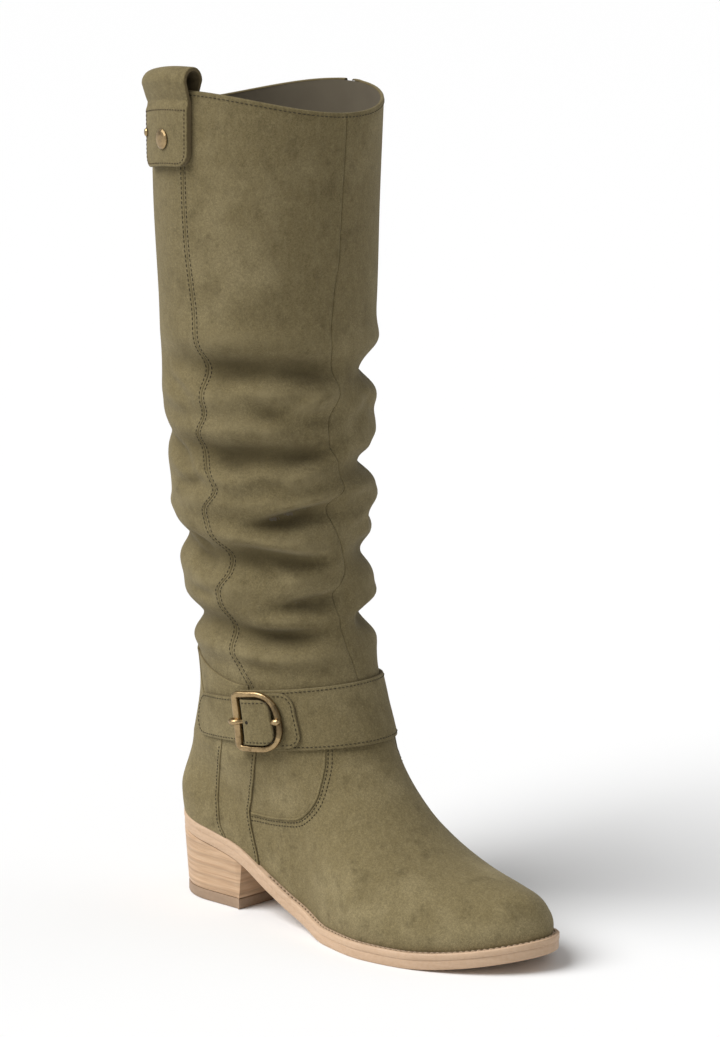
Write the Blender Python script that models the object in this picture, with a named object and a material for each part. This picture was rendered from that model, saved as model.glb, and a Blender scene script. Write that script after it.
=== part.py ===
"""Slouch boot, right foot, standing empty on its sole.

Lengths are in metres. The toe points to +X, the outer side of the foot to -Y,
the inner side to +Y and up is +Z. While it is built, x = 0 is the back of the
last at the sole and z = 0 is the floor. At the end every piece is moved so that
the origin lies at the middle of the whole boot's footprint.
"""

import math

import bmesh
import bpy
import numpy as np

# Driving sizes

LAST_LENGTH = 0.256      # back of the heel to the toe, at the feather edge
BALL_WIDTH = 0.089       # widest place of the last, without the welt's rim
HEEL_HEIGHT = 0.040      # floor to the underside of the outsole at the back
HEEL_LENGTH = 0.061      # back of the heel block to its breast
TOE_SPRING = 0.0085      # how far the outsole's tip lifts off the floor
ANKLE_HEIGHT = 0.094     # floor to where the foot turns into the shaft
SHAFT_HEIGHT = 0.448     # floor to the collar at the front seam
COLLAR_RISE = 0.013      # how much higher the collar is at its two sides
SHAFT_DEPTH = 0.131      # front to back across the collar

WALL = 0.0020            # suede with its lining
GAP = 0.0003             # clearance between flat pieces that touch
SEAT = 0.0004            # clearance of a piece that lies on the curved upper
OUTSOLE_THICKNESS = 0.0050
WELT_THICKNESS = 0.0037
WELT_RIM = 0.0034        # how far the welt stands out of the upper, forepart
WELT_RIM_HEEL = 0.0020   # the same round the heel
INSOLE_THICKNESS = 0.0030
INSOLE_CLEARANCE = 0.0008  # insole to the wall round it
LIFT_THICKNESS = 0.0060  # the dark layer under the heel block
HEEL_TAPER = 0.0022      # how much narrower the heel is at the floor

COUNTER_THICKNESS = 0.0010
COUNTER_HEIGHT = 0.1330  # its top edge at the sides, above the floor
COUNTER_RISE = 0.0090    # how much higher that edge is at the back

STRAP_HEIGHT = 0.1200    # middle of the ankle strap in front, above the floor
STRAP_DIP = 0.0065       # how much lower it is at the side
STRAP_WIDTH = 0.0330
STRAP_THICKNESS = 0.0017
BASE_WIDTH = 0.0300
BASE_THICKNESS = 0.0015
TAB_WIDTH = 0.0250
TAB_THICKNESS = 0.0017
TAB_CORNER = 0.0050      # radius of the corners of the tab's end in the buckle
BUCKLE_ANGLE = -75.0     # place of the buckle round the ankle, in degrees
BUCKLE_WIDTH = 0.0290    # along the strap
BUCKLE_HEIGHT = 0.0338
BUCKLE_BAR = 0.0036      # width of the frame's bars as seen from outside
BUCKLE_DEPTH = 0.0032    # their thickness
PRONG_WIRE = 0.0021
PRONG_SLOT = 0.0036      # width of the slots that the prong passes through

LOOP_ANGLE = -105.0      # place of the pull loop round the collar, in degrees
LOOP_WIDTH = 0.0440
LOOP_THICKNESS = 0.0021
LOOP_FLAP = 0.0016       # second layer on the lower part of the outer leg
LOOP_DROP = 0.0410       # outer leg below the collar
LOOP_INNER_DROP = 0.0260
LOOP_RISE = 0.0125       # top of the loop above the collar
LOOP_CORNER = 0.0060
RIVET_DIAMETER = 0.0110
SMALL_RIVET_DIAMETER = 0.0045
RIVET_HEIGHT = 0.0014

TAPE_WIDTH = 0.0105
TAPE_THICKNESS = 0.0008
TEETH_WIDTH = 0.0048
TEETH_THICKNESS = 0.0014
ZIP_TOP = 0.0025         # end of the zip below the collar
SLIDER_LENGTH = 0.0105
SLIDER_WIDTH = 0.0085
SLIDER_THICKNESS = 0.0022
BRIDGE_LENGTH = 0.0080   # the slider's bridge, up and down
BRIDGE_WIDTH = 0.0028
BRIDGE_RISE = 0.0040     # its top above the slider's face
BRIDGE_WALL = 0.0011
PULL_LENGTH = 0.0330
PULL_WIDTH = 0.0070
PULL_THICKNESS = 0.0015
PULL_WINDOW = 0.0075     # length of the window that the bridge passes through
PULL_BAR = 0.0014        # the pull's cross bar in the bridge

# How finely the upper is cut

AROUND = 44
FOOT_ROWS = 12
FOLD_STEP = 0.0175       # rows through the folds, as a share of SHAFT_HEIGHT

# Tables. Every row is a section; every length is a share of a named size.

# Outline of the last at the feather edge.
# station (share of LAST_LENGTH), half width, middle line (shares of BALL_WIDTH, + inner side)
OUTLINE = (
    (0.00, 0.340, 0.000),
    (0.12, 0.343, 0.000),
    (0.24, 0.332, -0.010),
    (0.42, 0.318, -0.042),
    (0.56, 0.425, -0.050),
    (0.68, 0.500, -0.026),
    (0.78, 0.500, 0.000),
    (0.90, 0.490, 0.036),
    (1.00, 0.480, 0.060),
)
HEEL_ROUND = 0.13        # share of the length over which the heel rounds off
TOE_START = 0.68         # station where the toe starts to close

# Underside of the outsole. station, height (share of HEEL_HEIGHT)
UNDERSIDE = (
    (0.00, 1.00),
    (0.11, 0.89),
    (0.23, 0.725),
    (0.34, 0.40),
    (0.45, 0.12),
    (0.55, 0.00),
    (0.78, 0.00),
    (1.00, 0.00),
)
SPRING_START = 0.77      # station where the sole starts to lift at the toe

# Top line of the foot above the sole, from the toe to the ankle.
# station, height (share of ANKLE_HEIGHT)
RIDGE = (
    (0.547, 0.900),
    (0.565, 0.835),
    (0.595, 0.735),
    (0.63, 0.642),
    (0.68, 0.526),
    (0.75, 0.424),
    (0.86, 0.335),
    (0.93, 0.285),
    (1.00, 0.270),
)
NOSE_START = 0.90        # station where the toe turns down to the sole

# Rows of the foot, from the feather edge to the ankle.
# share of the rows, front station, back height (share of the heel's rise to the ankle)
FOOT_FAN = (
    (0.00, 1.000, 0.00),
    (0.08, 0.997, 0.05),
    (0.16, 0.985, 0.11),
    (0.24, 0.960, 0.18),
    (0.32, 0.920, 0.26),
    (0.40, 0.870, 0.34),
    (0.48, 0.815, 0.42),
    (0.56, 0.760, 0.50),
    (0.64, 0.708, 0.58),
    (0.72, 0.660, 0.67),
    (0.80, 0.620, 0.76),
    (0.88, 0.587, 0.85),
    (1.00, 0.547, 1.00),
)

# Back line of the foot. share of the rows, set back (share of LAST_LENGTH)
BACK_LINE = (
    (0.00, 0.000),
    (0.15, -0.003),
    (0.35, -0.005),
    (0.60, -0.002),
    (0.85, 0.007),
    (1.00, 0.014),
)

# Shaft without its folds.
# height (share of SHAFT_HEIGHT), middle x (share of LAST_LENGTH), middle y (share of BALL_WIDTH),
# depth and width (shares of SHAFT_DEPTH)
SHAFT = (
    (0.210, 0.2805, 0.045, 1.040, 0.625),
    (0.240, 0.2780, 0.045, 0.965, 0.632),
    (0.275, 0.2720, 0.045, 0.885, 0.640),
    (0.313, 0.2610, 0.040, 0.840, 0.652),
    (0.360, 0.2450, 0.034, 0.828, 0.680),
    (0.446, 0.2270, 0.022, 0.850, 0.735),
    (0.536, 0.2220, 0.004, 0.886, 0.806),
    (0.670, 0.2110, 0.000, 0.908, 0.862),
    (0.781, 0.2180, -0.010, 0.940, 0.900),
    (0.893, 0.2190, -0.020, 0.970, 0.924),
    (1.030, 0.2240, -0.020, 1.000, 0.940),
)

# Slouch folds: troughs pressed into the shaft, each with a soft ridge above and below.
# height (share of SHAFT_HEIGHT), angle of the middle (0 front, 90 inner side, -90 outer side),
# half span in degrees, climb over that half span, depth and half width (shares of SHAFT_DEPTH)
FOLDS = (
    (0.694, -62, 78, 0.000, 0.042, 0.078),
    (0.684, 48, 60, 0.000, 0.046, 0.076),
    (0.630, -102, 44, 0.000, 0.020, 0.056),
    (0.634, -35, 36, -0.004, 0.024, 0.058),
    (0.588, -78, 74, -0.004, 0.048, 0.078),
    (0.564, 50, 66, 0.000, 0.050, 0.076),
    (0.532, 140, 52, 0.002, 0.044, 0.076),
    (0.549, -98, 40, -0.004, 0.018, 0.052),
    (0.518, -50, 62, 0.028, 0.032, 0.060),
    (0.458, -88, 70, -0.014, 0.056, 0.076),
    (0.455, 46, 58, 0.002, 0.046, 0.074),
    (0.411, 140, 52, 0.002, 0.044, 0.070),
    (0.410, -50, 38, 0.012, 0.022, 0.056),
    (0.368, -90, 74, -0.004, 0.046, 0.070),
    (0.370, 46, 56, 0.000, 0.042, 0.070),
    (0.340, 136, 48, 0.000, 0.026, 0.062),
    (0.312, -60, 90, 0.000, 0.018, 0.056),
    (0.603, -150, 44, 0.000, 0.018, 0.060),
    (0.471, -156, 46, 0.000, 0.036, 0.072),
    (0.367, -156, 46, 0.000, 0.034, 0.066),
)

# Front edge of the counter. row of the upper, turn on the outer side, turn on the inner side
COUNTER_EDGE = (
    (0.00, 0.152, -0.154),
    (0.50, 0.164, -0.172),
    (1.00, 0.205, -0.198),
    (1.12, 0.262, -0.212),
)

# Line of the zip down the inner side. row of the upper, turn
ZIP_LINE = (
    (0.25, 0.817),
    (0.55, 0.787),
    (0.80, 0.757),
    (1.00, 0.738),
    (1.15, 0.732),
    (1.28, 0.724),
    (1.42, 0.742),
    (1.55, 0.733),
    (2.00, 0.742),
)


def smooth(rows, column, at):
    """Value of one column of a table at a place in its first column, without overshoot."""
    place = np.array([row[0] for row in rows])
    value = np.array([row[column] for row in rows])
    step = np.diff(place)
    slope = np.diff(value) / step
    tangent = np.zeros(len(rows))
    for i in range(1, len(rows) - 1):
        if slope[i - 1] * slope[i] > 0:
            before = 2 * step[i] + step[i - 1]
            after = step[i] + 2 * step[i - 1]
            tangent[i] = (before + after) / (before / slope[i - 1] + after / slope[i])
    tangent[0] = slope[0]
    tangent[-1] = slope[-1]
    at = np.clip(at, place[0], place[-1])
    k = np.clip(np.searchsorted(place, at, side="right") - 1, 0, len(rows) - 2)
    t = (at - place[k]) / step[k]
    start = value[k] + t * t * (3 - 2 * t) * (value[k + 1] - value[k])
    lean = t * (1 - t) ** 2 * tangent[k] - t * t * (1 - t) * tangent[k + 1]
    return start + step[k] * lean


def ease(low, high, at):
    """0 below low, 1 above high, a smooth step between."""
    t = np.clip((at - low) / (high - low), 0.0, 1.0)
    return t * t * (3 - 2 * t)


# Sole


def underside(x):
    """Height of the outsole's underside above the floor."""
    station = x / LAST_LENGTH
    lift = np.clip((station - SPRING_START) / (1 - SPRING_START), 0.0, 1.2)
    return HEEL_HEIGHT * smooth(UNDERSIDE, 1, station) + TOE_SPRING * lift ** 1.7


def welt_top(x):
    return underside(x) + OUTSOLE_THICKNESS + GAP + WELT_THICKNESS


def sole_top(x):
    """Height of the plane that the upper and the insole stand on."""
    return welt_top(x) + GAP


def half_width(station):
    """Half the last's width at the feather edge, closing at the toe and at the heel."""
    toe = np.clip((station - TOE_START) / (1 - TOE_START), 0.0, 1.0)
    width = BALL_WIDTH * smooth(OUTLINE, 1, station)
    return width * (1 - toe ** 2.15) ** 0.56


def heel_close(run):
    """Rounds a section off at the back, where run is the distance from its back end."""
    near = np.clip(1 - run / (HEEL_ROUND * LAST_LENGTH), 0.0, 1.0)
    return np.sqrt(np.clip(1 - near * near, 0.0, 1.0))


def middle_line(station):
    return BALL_WIDTH * smooth(OUTLINE, 2, station)


def feather_outline(end=1.0):
    """Points of the last's outline from the heel to the station end, one list for each side.
    Every plate of the sole has the upper's own stations, so that they lie flat on each other."""
    station = (1 - np.cos(np.linspace(0.0, math.pi, AROUND // 2 + 1))) / 2
    if end < 1.0:
        station = np.append(station[station < end - 0.004], end)
    half = half_width(station) * heel_close(station * LAST_LENGTH)
    x = station * LAST_LENGTH
    outer = np.stack([x, middle_line(station) - half], 1)
    inner = np.stack([x, middle_line(station) + half], 1)
    return outer, inner


def grow(outer, inner, distance):
    """Moves both sides of an outline outwards by a distance given for each station."""
    loop = np.concatenate([outer, inner[::-1]])
    ahead = np.roll(loop, -1, 0)
    behind = np.roll(loop, 1, 0)
    run = ahead - behind
    run[0] = (0.0, -1.0)
    run[-1] = (0.0, -1.0)
    tip = len(outer)
    if np.linalg.norm(loop[tip] - loop[tip - 1]) < 1e-6:
        run[tip] = (0.0, 1.0)
        run[tip - 1] = (0.0, 1.0)
    run /= np.linalg.norm(run, axis=1)[:, None]
    out = np.stack([run[:, 1], -run[:, 0]], 1)
    amount = np.concatenate([distance, distance[::-1]])[:, None]
    moved = loop + out * amount
    return moved[:tip], moved[tip:][::-1]


def rim(outer):
    """Width of the welt's rim at each station, narrow round the heel."""
    station = outer[:, 0] / LAST_LENGTH
    return WELT_RIM_HEEL + (WELT_RIM - WELT_RIM_HEEL) * ease(0.16, 0.42, station)


def slab(name, outer, inner, low, high, finish, shrink=0.0):
    """A plate between two sides of an outline; low and high give z at x, shrink narrows its floor."""
    bm = bmesh.new()
    floor_outer, floor_inner = outer, inner
    if shrink:
        floor_outer, floor_inner = grow(outer, inner, np.full(len(outer), -shrink))
    stations = []
    for a, b, c, d in zip(outer, inner, floor_outer, floor_inner):
        pointed = abs(a[1] - b[1]) < 1e-6
        top = [bm.verts.new((a[0], a[1], high(a[0])))]
        bottom = [bm.verts.new((c[0], c[1], low(c[0])))]
        if pointed:
            top.append(top[0])
            bottom.append(bottom[0])
        else:
            top.append(bm.verts.new((b[0], b[1], high(b[0]))))
            bottom.append(bm.verts.new((d[0], d[1], low(d[0]))))
        stations.append((top, bottom))
    for (top, bottom), (next_top, next_bottom) in zip(stations, stations[1:]):
        face(bm, top[0], next_top[0], next_top[1], top[1])
        face(bm, bottom[0], bottom[1], next_bottom[1], next_bottom[0])
        face(bm, bottom[0], next_bottom[0], next_top[0], top[0])
        face(bm, top[1], next_top[1], next_bottom[1], bottom[1])
    for top, bottom in (stations[0], stations[-1]):
        if top[0] is not top[1]:
            face(bm, top[0], bottom[0], bottom[1], top[1])
    return finish_mesh(bm, name, finish)


def face(bm, *corners):
    """A face through the corners that differ from each other."""
    kept = []
    for corner in corners:
        if corner not in kept:
            kept.append(corner)
    if len(kept) > 2:
        bm.faces.new(kept)


# Upper


def ridge_height(station):
    """Height of the foot's top line above the sole."""
    nose = np.clip((station - NOSE_START) / (1 - NOSE_START), 0.0, 1.0)
    return ANKLE_HEIGHT * smooth(RIDGE, 1, station) * (1 - nose ** 2.4) ** 0.5


def foot_point(turn, row):
    """Outer surface of the foot. turn runs 0 to 1 from the heel along the outer side to the toe
    and back along the inner side; row runs from 0 at the feather edge to 1 at the ankle."""
    phase = 2 * math.pi * turn
    front = smooth(FOOT_FAN, 1, row)
    back = smooth(BACK_LINE, 1, row)
    share = (1 - math.cos(phase)) / 2
    station = back + (front - back) * share
    x = station * LAST_LENGTH
    heel_rise = ANKLE_HEIGHT - sole_top(0.0)
    rise_back = heel_rise * smooth(FOOT_FAN, 2, row)
    rise_front = ridge_height(front)
    rise = rise_back + (rise_front - rise_back) * share
    level = sole_top(back * LAST_LENGTH) + rise_back
    level += (sole_top(front * LAST_LENGTH) + rise_front - level) * share
    full = max(ridge_height(station), 1e-6)
    up = min(rise / full, 1.0)
    close = heel_close((station - back) * LAST_LENGTH)
    swell = 1 + 0.05 * math.sin(math.pi * min(up / 0.55, 1.0))
    foot = half_width(max(station, 0.0)) * close * swell * (1 - up ** 2.3) ** 0.52
    ankle = SHAFT_DEPTH * smooth(SHAFT, 4, 0.0) / 2 * abs(math.sin(phase))
    leg = ease(0.35, 1.0, row)
    half = foot + (ankle - foot) * leg
    side = -1.0 if turn < 0.5 else 1.0
    ridge_y = BALL_WIDTH * 0.05
    middle = middle_line(station) * (1 - up * up) + ridge_y * up * up
    middle += (BALL_WIDTH * smooth(SHAFT, 2, 0.0) - middle) * leg
    flat = ease(0.25, 1.0, row)
    z = (sole_top(x) + rise) * (1 - flat) + level * flat
    return np.array([x, middle + side * half, z])


def fold_depth(angle, height):
    """How far the slouch folds move the shaft in or out at an angle in degrees."""
    total = 0.0
    for place, around, span, climb, depth, width in FOLDS:
        off = (angle - around + 180.0) % 360.0 - 180.0
        if abs(off) >= span:
            continue
        fade = math.cos(math.pi * off / (2 * span)) ** 1.3
        centre = SHAFT_HEIGHT * (place + climb * off / span)
        q = (height - centre) / (SHAFT_DEPTH * width)
        total -= SHAFT_DEPTH * depth * fade * (1 - q * q) * math.exp(-q * q / 1.6)
    return total


def collar_height(turn):
    """Height of the collar: lowest at the front and back seams, higher at the sides."""
    return SHAFT_HEIGHT + COLLAR_RISE * math.sin(2 * math.pi * turn) ** 2 * 0.9


def shaft_point(turn, height):
    """Outer surface of the shaft at a turn and at a height above the floor."""
    phase = 2 * math.pi * turn
    share = height / SHAFT_HEIGHT
    depth = SHAFT_DEPTH * smooth(SHAFT, 3, share) / 2
    width = SHAFT_DEPTH * smooth(SHAFT, 4, share) / 2
    middle_x = LAST_LENGTH * smooth(SHAFT, 1, share)
    middle_y = BALL_WIDTH * smooth(SHAFT, 2, share)
    angle = math.degrees(math.atan2(-math.sin(phase), -math.cos(phase)))
    calm = ease(STRAP_HEIGHT + 0.5 * STRAP_WIDTH, STRAP_HEIGHT + STRAP_WIDTH, height)
    push = fold_depth(angle, height) * calm
    x = middle_x - (depth + push) * math.cos(phase)
    y = middle_y - (width + push) * math.sin(phase)
    return np.array([x, y, height])


def upper_point(turn, row):
    """Outer surface of the whole upper; rows past 1 climb from the ankle to the collar at 2."""
    turn = turn % 1.0
    if row <= 1.0:
        return foot_point(turn, row)
    return shaft_point(turn, ANKLE_HEIGHT + (row - 1) * (collar_height(turn) - ANKLE_HEIGHT))


def row_at(turn, height):
    """The row that passes through a height on the shaft."""
    return 1 + (height - ANKLE_HEIGHT) / (collar_height(turn) - ANKLE_HEIGHT)


def outward(turn, row):
    """Unit normal of the upper's outer surface."""
    step = 0.004
    across = upper_point(turn + step, row) - upper_point(turn - step, row)
    low, high = max(row - step, 0.0), min(row + step, 2.0)
    if row < 1.0 < high:
        high = 1.0
    along = upper_point(turn, high) - upper_point(turn, low)
    normal = np.cross(across, along)
    if row <= 0.0 or row >= 2.0:
        normal[2] = 0.0
    return normal / np.linalg.norm(normal)


def lifted(turn, row, offset):
    """A point at a distance outside the upper's outer surface."""
    point = upper_point(turn, row) + outward(turn, row) * offset
    if row <= 0.0:
        point[2] = sole_top(point[0])
    return point


def walk(height, angle, distance):
    """The turn at a distance along the shaft's ring from an angle, the toe's way on the outer side."""
    turns = np.linspace(0.0, 1.0, 181)
    ring = np.array([shaft_point(turn, height) for turn in turns])
    run = np.append(0.0, np.cumsum(np.linalg.norm(np.diff(ring, axis=0), axis=1)))
    start = np.interp((angle + 180.0) / 360.0, turns, run)
    return np.interp(start + distance, run, turns)


def turn_width(turn, row):
    """Length of the surface for one whole turn at this place, to change widths into turns."""
    step = 0.002
    return np.linalg.norm(upper_point(turn + step, row) - upper_point(turn - step, row)) / (2 * step)


def shaft_rows():
    """Rows of the shaft: fine through the folds, coarse above them."""
    heights = [0.240, 0.275, 0.300]
    heights += list(np.arange(0.318, 0.705, FOLD_STEP))
    heights += [0.735, 0.775, 0.825, 0.885, 0.945]
    calm = [1 + (share * SHAFT_HEIGHT - ANKLE_HEIGHT) / (SHAFT_HEIGHT - ANKLE_HEIGHT) for share in heights]
    return calm + [2.0]


def upper_rows():
    return [i / FOOT_ROWS for i in range(FOOT_ROWS + 1)] + shaft_rows()


def make_upper():
    turns = [i / AROUND for i in range(AROUND)]
    outer = [[lifted(turn, row, 0.0) for turn in turns] for row in upper_rows()]
    inner = [[lifted(turn, row, -WALL) for turn in turns] for row in upper_rows()]
    bm = bmesh.new()
    outside = [[bm.verts.new(p) for p in ring] for ring in outer]
    inside = [[bm.verts.new(p) for p in ring] for ring in inner]
    for i in range(AROUND):
        j = (i + 1) % AROUND
        for low, high in zip(outside, outside[1:]):
            face(bm, low[i], low[j], high[j], high[i])
        for low, high in zip(inside, inside[1:]):
            face(bm, low[j], low[i], high[i], high[j])
        face(bm, outside[0][j], outside[0][i], inside[0][i], inside[0][j])
        face(bm, outside[-1][i], outside[-1][j], inside[-1][j], inside[-1][i])
    return finish_mesh(bm, "upper", SUEDE)


def between(name, under, over, finish, skip=()):
    """A solid between two grids of points. skip lists cells (i, j) that are left open."""
    bm = bmesh.new()
    low = [[bm.verts.new(p) for p in line] for line in under]
    high = [[bm.verts.new(p) for p in line] for line in over]
    kept = set()
    for i in range(len(low) - 1):
        for j in range(len(low[0]) - 1):
            if (i, j) not in skip:
                kept.add((i, j))
    for i, j in kept:
        face(bm, high[i][j], high[i][j + 1], high[i + 1][j + 1], high[i + 1][j])
        face(bm, low[i][j], low[i + 1][j], low[i + 1][j + 1], low[i][j + 1])
        if (i - 1, j) not in kept:
            face(bm, high[i][j], low[i][j], low[i][j + 1], high[i][j + 1])
        if (i + 1, j) not in kept:
            face(bm, high[i + 1][j], high[i + 1][j + 1], low[i + 1][j + 1], low[i + 1][j])
        if (i, j - 1) not in kept:
            face(bm, high[i][j], high[i + 1][j], low[i + 1][j], low[i][j])
        if (i, j + 1) not in kept:
            face(bm, high[i][j + 1], low[i][j + 1], low[i + 1][j + 1], high[i + 1][j + 1])
    for loose in [v for v in bm.verts if not v.link_faces]:
        bm.verts.remove(loose)
    return finish_mesh(bm, name, finish)


def sweep(name, centres, rights, ups, width, depth, closed, finish, sides=8):
    """An oval bar along a line of points; rights and ups span its cross section."""
    bm = bmesh.new()
    rings = []
    for centre, right, up in zip(centres, rights, ups):
        ring = []
        for k in range(sides):
            a = 2 * math.pi * (k + 0.5) / sides
            corner = centre + right * (width / 2 * math.cos(a)) + up * (depth / 2 * math.sin(a))
            ring.append(bm.verts.new(corner))
        rings.append(ring)
    count = len(rings)
    for i in range(count if closed else count - 1):
        here, there = rings[i], rings[(i + 1) % count]
        for k in range(sides):
            face(bm, here[k], here[(k + 1) % sides], there[(k + 1) % sides], there[k])
    if not closed:
        bm.faces.new(rings[0])
        bm.faces.new(rings[-1])
    return finish_mesh(bm, name, finish)


def dome(name, centre, normal, diameter, height, finish, sides=14):
    """A rivet's cap: a flat round foot and a low dome."""
    side = np.cross(normal, (0.0, 0.0, 1.0))
    side /= np.linalg.norm(side)
    up = np.cross(side, normal)
    bm = bmesh.new()
    rings = []
    for radius, rise in ((1.0, 0.0), (1.0, 0.35), (0.80, 0.80), (0.40, 1.0)):
        ring = []
        for k in range(sides):
            a = 2 * math.pi * k / sides
            spoke = side * math.cos(a) + up * math.sin(a)
            ring.append(bm.verts.new(centre + spoke * (diameter / 2 * radius) + normal * (height * rise)))
        rings.append(ring)
    for low, high in zip(rings, rings[1:]):
        for k in range(sides):
            face(bm, low[k], low[(k + 1) % sides], high[(k + 1) % sides], high[k])
    bm.faces.new(rings[0])
    bm.faces.new(rings[-1])
    return finish_mesh(bm, name, finish)


# Counter


def make_counter():
    """The panel round the back of the heel, whose top edge laps over the slouched shaft."""
    last = row_at(0.0, COUNTER_HEIGHT - 0.004)
    rows = [row for row in upper_rows() if row < last]
    steps = [0.0] * len(rows) + [0.5, 1.0]
    guides = rows + [rows[-1], rows[-1]]
    under, over = [], []
    for guide, step in zip(guides, steps):
        low_line, high_line = [], []
        outer_end = smooth(COUNTER_EDGE, 1, guide)
        inner_end = smooth(COUNTER_EDGE, 2, guide)
        for turn in np.linspace(inner_end, outer_end, 19):
            row = guide
            if step > 0.0:
                top = COUNTER_HEIGHT + COUNTER_RISE * ease(0.27, 0.10, abs(turn))
                start = upper_point(turn, guide)[2]
                row = row_at(turn, start + (top - start) * step)
            low_line.append(lifted(turn, row, SEAT))
            high_line.append(lifted(turn, row, SEAT + COUNTER_THICKNESS))
        under.append(low_line)
        over.append(high_line)
    return between("heel_counter", under, over, SUEDE)


# Strap and buckle. Places along the strap are distances from the buckle's middle, the toe's way.


def strap_middle(turn):
    """Height of the strap's middle line at a turn."""
    return STRAP_HEIGHT - STRAP_DIP * (1 + math.cos(2 * math.pi * turn))


def on_strap(distance, across, offset):
    """A point at a distance along the strap, across it (up positive) and outside the upper."""
    turn = walk(STRAP_HEIGHT, BUCKLE_ANGLE, distance)
    return lifted(turn, row_at(turn, strap_middle(turn) + across), offset)


def strip(name, stations, rows, low, high, finish, skip=()):
    """A band on the strap line: rows(d) gives its places across, low(d) and high(d) its faces."""
    under = [[on_strap(d, t, low(d)) for t in rows(d)] for d in stations]
    over = [[on_strap(d, t, high(d)) for t in rows(d)] for d in stations]
    return between(name, under, over, finish, skip)


def corner_drop(inside, radius):
    """How much lower an edge is at a distance inside an end with rounded corners."""
    near = max(radius - inside, 0.0)
    return radius - math.sqrt(max(radius * radius - near * near, 0.0))


def spread(half, inner=None):
    """Places across a band, with two more beside a slot where there is one."""
    if inner is None:
        return [-half, -half / 3, half / 3, half]
    return [-half, -(half + inner) / 2, -inner, inner, (half + inner) / 2, half]


def make_strap():
    zip_turn = smooth(ZIP_LINE, 1, row_at(0.735, strap_middle(0.735)))
    turns = np.linspace(0.0, 1.0, 181)
    ring = np.array([shaft_point(turn, STRAP_HEIGHT) for turn in turns])
    run = np.append(0.0, np.cumsum(np.linalg.norm(np.diff(ring, axis=0), axis=1)))
    length = np.interp(zip_turn, turns, run) - np.interp((BUCKLE_ANGLE + 180) / 360, turns, run)
    start = -0.15 * BUCKLE_WIDTH
    end = length - TAPE_WIDTH / 2 - 0.0015
    stations = np.linspace(start, end, 24)
    strip("ankle_strap", stations, lambda d: spread(STRAP_WIDTH / 2), lambda d: SEAT,
          lambda d: SEAT + STRAP_THICKNESS, SUEDE)


def base_low():
    return SEAT + STRAP_THICKNESS + GAP


def buckle_low():
    """Offset of the buckle frame's underside: it lies on the base patch."""
    return base_low() + BASE_THICKNESS + GAP


def make_buckle_base():
    start = -0.13 * BUCKLE_WIDTH
    end = 0.76 * BUCKLE_WIDTH
    radius = 0.25 * BASE_WIDTH
    ends = [end - radius * share for share in (1.0, 0.62, 0.30, 0.10, 0.0)]
    stations = [start, start + 0.3 * (ends[0] - start), start + 0.65 * (ends[0] - start)] + ends
    strip("buckle_base", stations, lambda d: spread(BASE_WIDTH / 2 - corner_drop(end - d, radius)),
          lambda d: base_low(), lambda d: base_low() + BASE_THICKNESS, SUEDE)


def bar_place():
    """Distance of the buckle's side bars from its middle."""
    return (BUCKLE_WIDTH - BUCKLE_BAR) / 2


def make_buckle_tab():
    """The narrow strap: round at its back end, under the left bar, then raised over the prong."""
    tail = -1.88 * BUCKLE_WIDTH
    end = bar_place() - BUCKLE_BAR / 2 - 0.0011
    ramp_start = -bar_place() + BUCKLE_BAR / 2 + 0.0005
    ramp_end = ramp_start + 0.0042
    slot_start = -bar_place() - BUCKLE_BAR / 2 - PRONG_WIRE - 0.0006
    notch = end - 0.0036
    round_tail = 0.40 * TAB_WIDTH
    lower = SEAT + COUNTER_THICKNESS + GAP + 0.0002
    upper = buckle_low() + PRONG_WIRE + GAP + 0.0002
    tails = [tail + round_tail * share for share in (0.0, 0.08, 0.25, 0.55, 1.0)]
    middle = list(np.linspace(tails[-1], slot_start, 6))[1:]
    window = [-bar_place(), ramp_start, (ramp_start + ramp_end) / 2, ramp_end, ramp_end + 0.0010]
    ends = [0.0, notch - 0.002, notch, end - 0.0022, end - 0.0008, end]
    stations = tails + middle + window + ends

    def rows(d):
        drop = max(corner_drop(d - tail, round_tail), corner_drop(end - d, TAB_CORNER))
        return spread(TAB_WIDTH / 2 - drop, PRONG_SLOT / 2)

    def low(d):
        return lower + (upper - lower) * ease(ramp_start, ramp_end, d)

    slot = [(i, 2) for i, d in enumerate(stations[:-1]) if slot_start - 1e-6 <= d < ramp_end + 0.0005]
    slot += [(i, 2) for i, d in enumerate(stations[:-1]) if d >= notch - 1e-6]
    strip("buckle_tab", stations, rows, low, lambda d: low(d) + TAB_THICKNESS, SUEDE, slot)


def make_buckle_frame():
    """A D: a straight bar towards the heel and a full curve towards the toe."""
    half = (BUCKLE_HEIGHT - BUCKLE_BAR) / 2
    reach = bar_place()
    square = 3.6
    outline = []
    for k in range(15):
        a = math.pi * (k / 14 - 0.5)
        along = reach * abs(math.cos(a)) ** (2 / square)
        outline.append((along, half * math.copysign(abs(math.sin(a)) ** (2 / square), a)))
    outline[0] = (0.0, -half)
    outline[-1] = (0.0, half)
    bend = 0.0030
    back = [(-reach * 0.5, half), (bend - reach, half)]
    back += [(bend * 0.3 - reach, half - bend * 0.3), (-reach, half - bend)]
    back += [(-reach, half * share) for share in (0.4, 0.0, -0.4)]
    back += [(x, -y) for x, y in back[3::-1]]
    outline += back
    offset = buckle_low() + BUCKLE_DEPTH / 2
    centres = [on_strap(x, y, offset) for x, y in outline]
    ups = [on_strap(x, y, offset + 0.001) - on_strap(x, y, offset) for x, y in outline]
    ups = [up / np.linalg.norm(up) for up in ups]
    count = len(centres)
    rights = []
    for i in range(count):
        along = centres[(i + 1) % count] - centres[i - 1]
        right = np.cross(along / np.linalg.norm(along), ups[i])
        rights.append(right / np.linalg.norm(right))
    sweep("buckle_frame", centres, rights, ups, BUCKLE_BAR, BUCKLE_DEPTH, True, BRASS)


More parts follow.
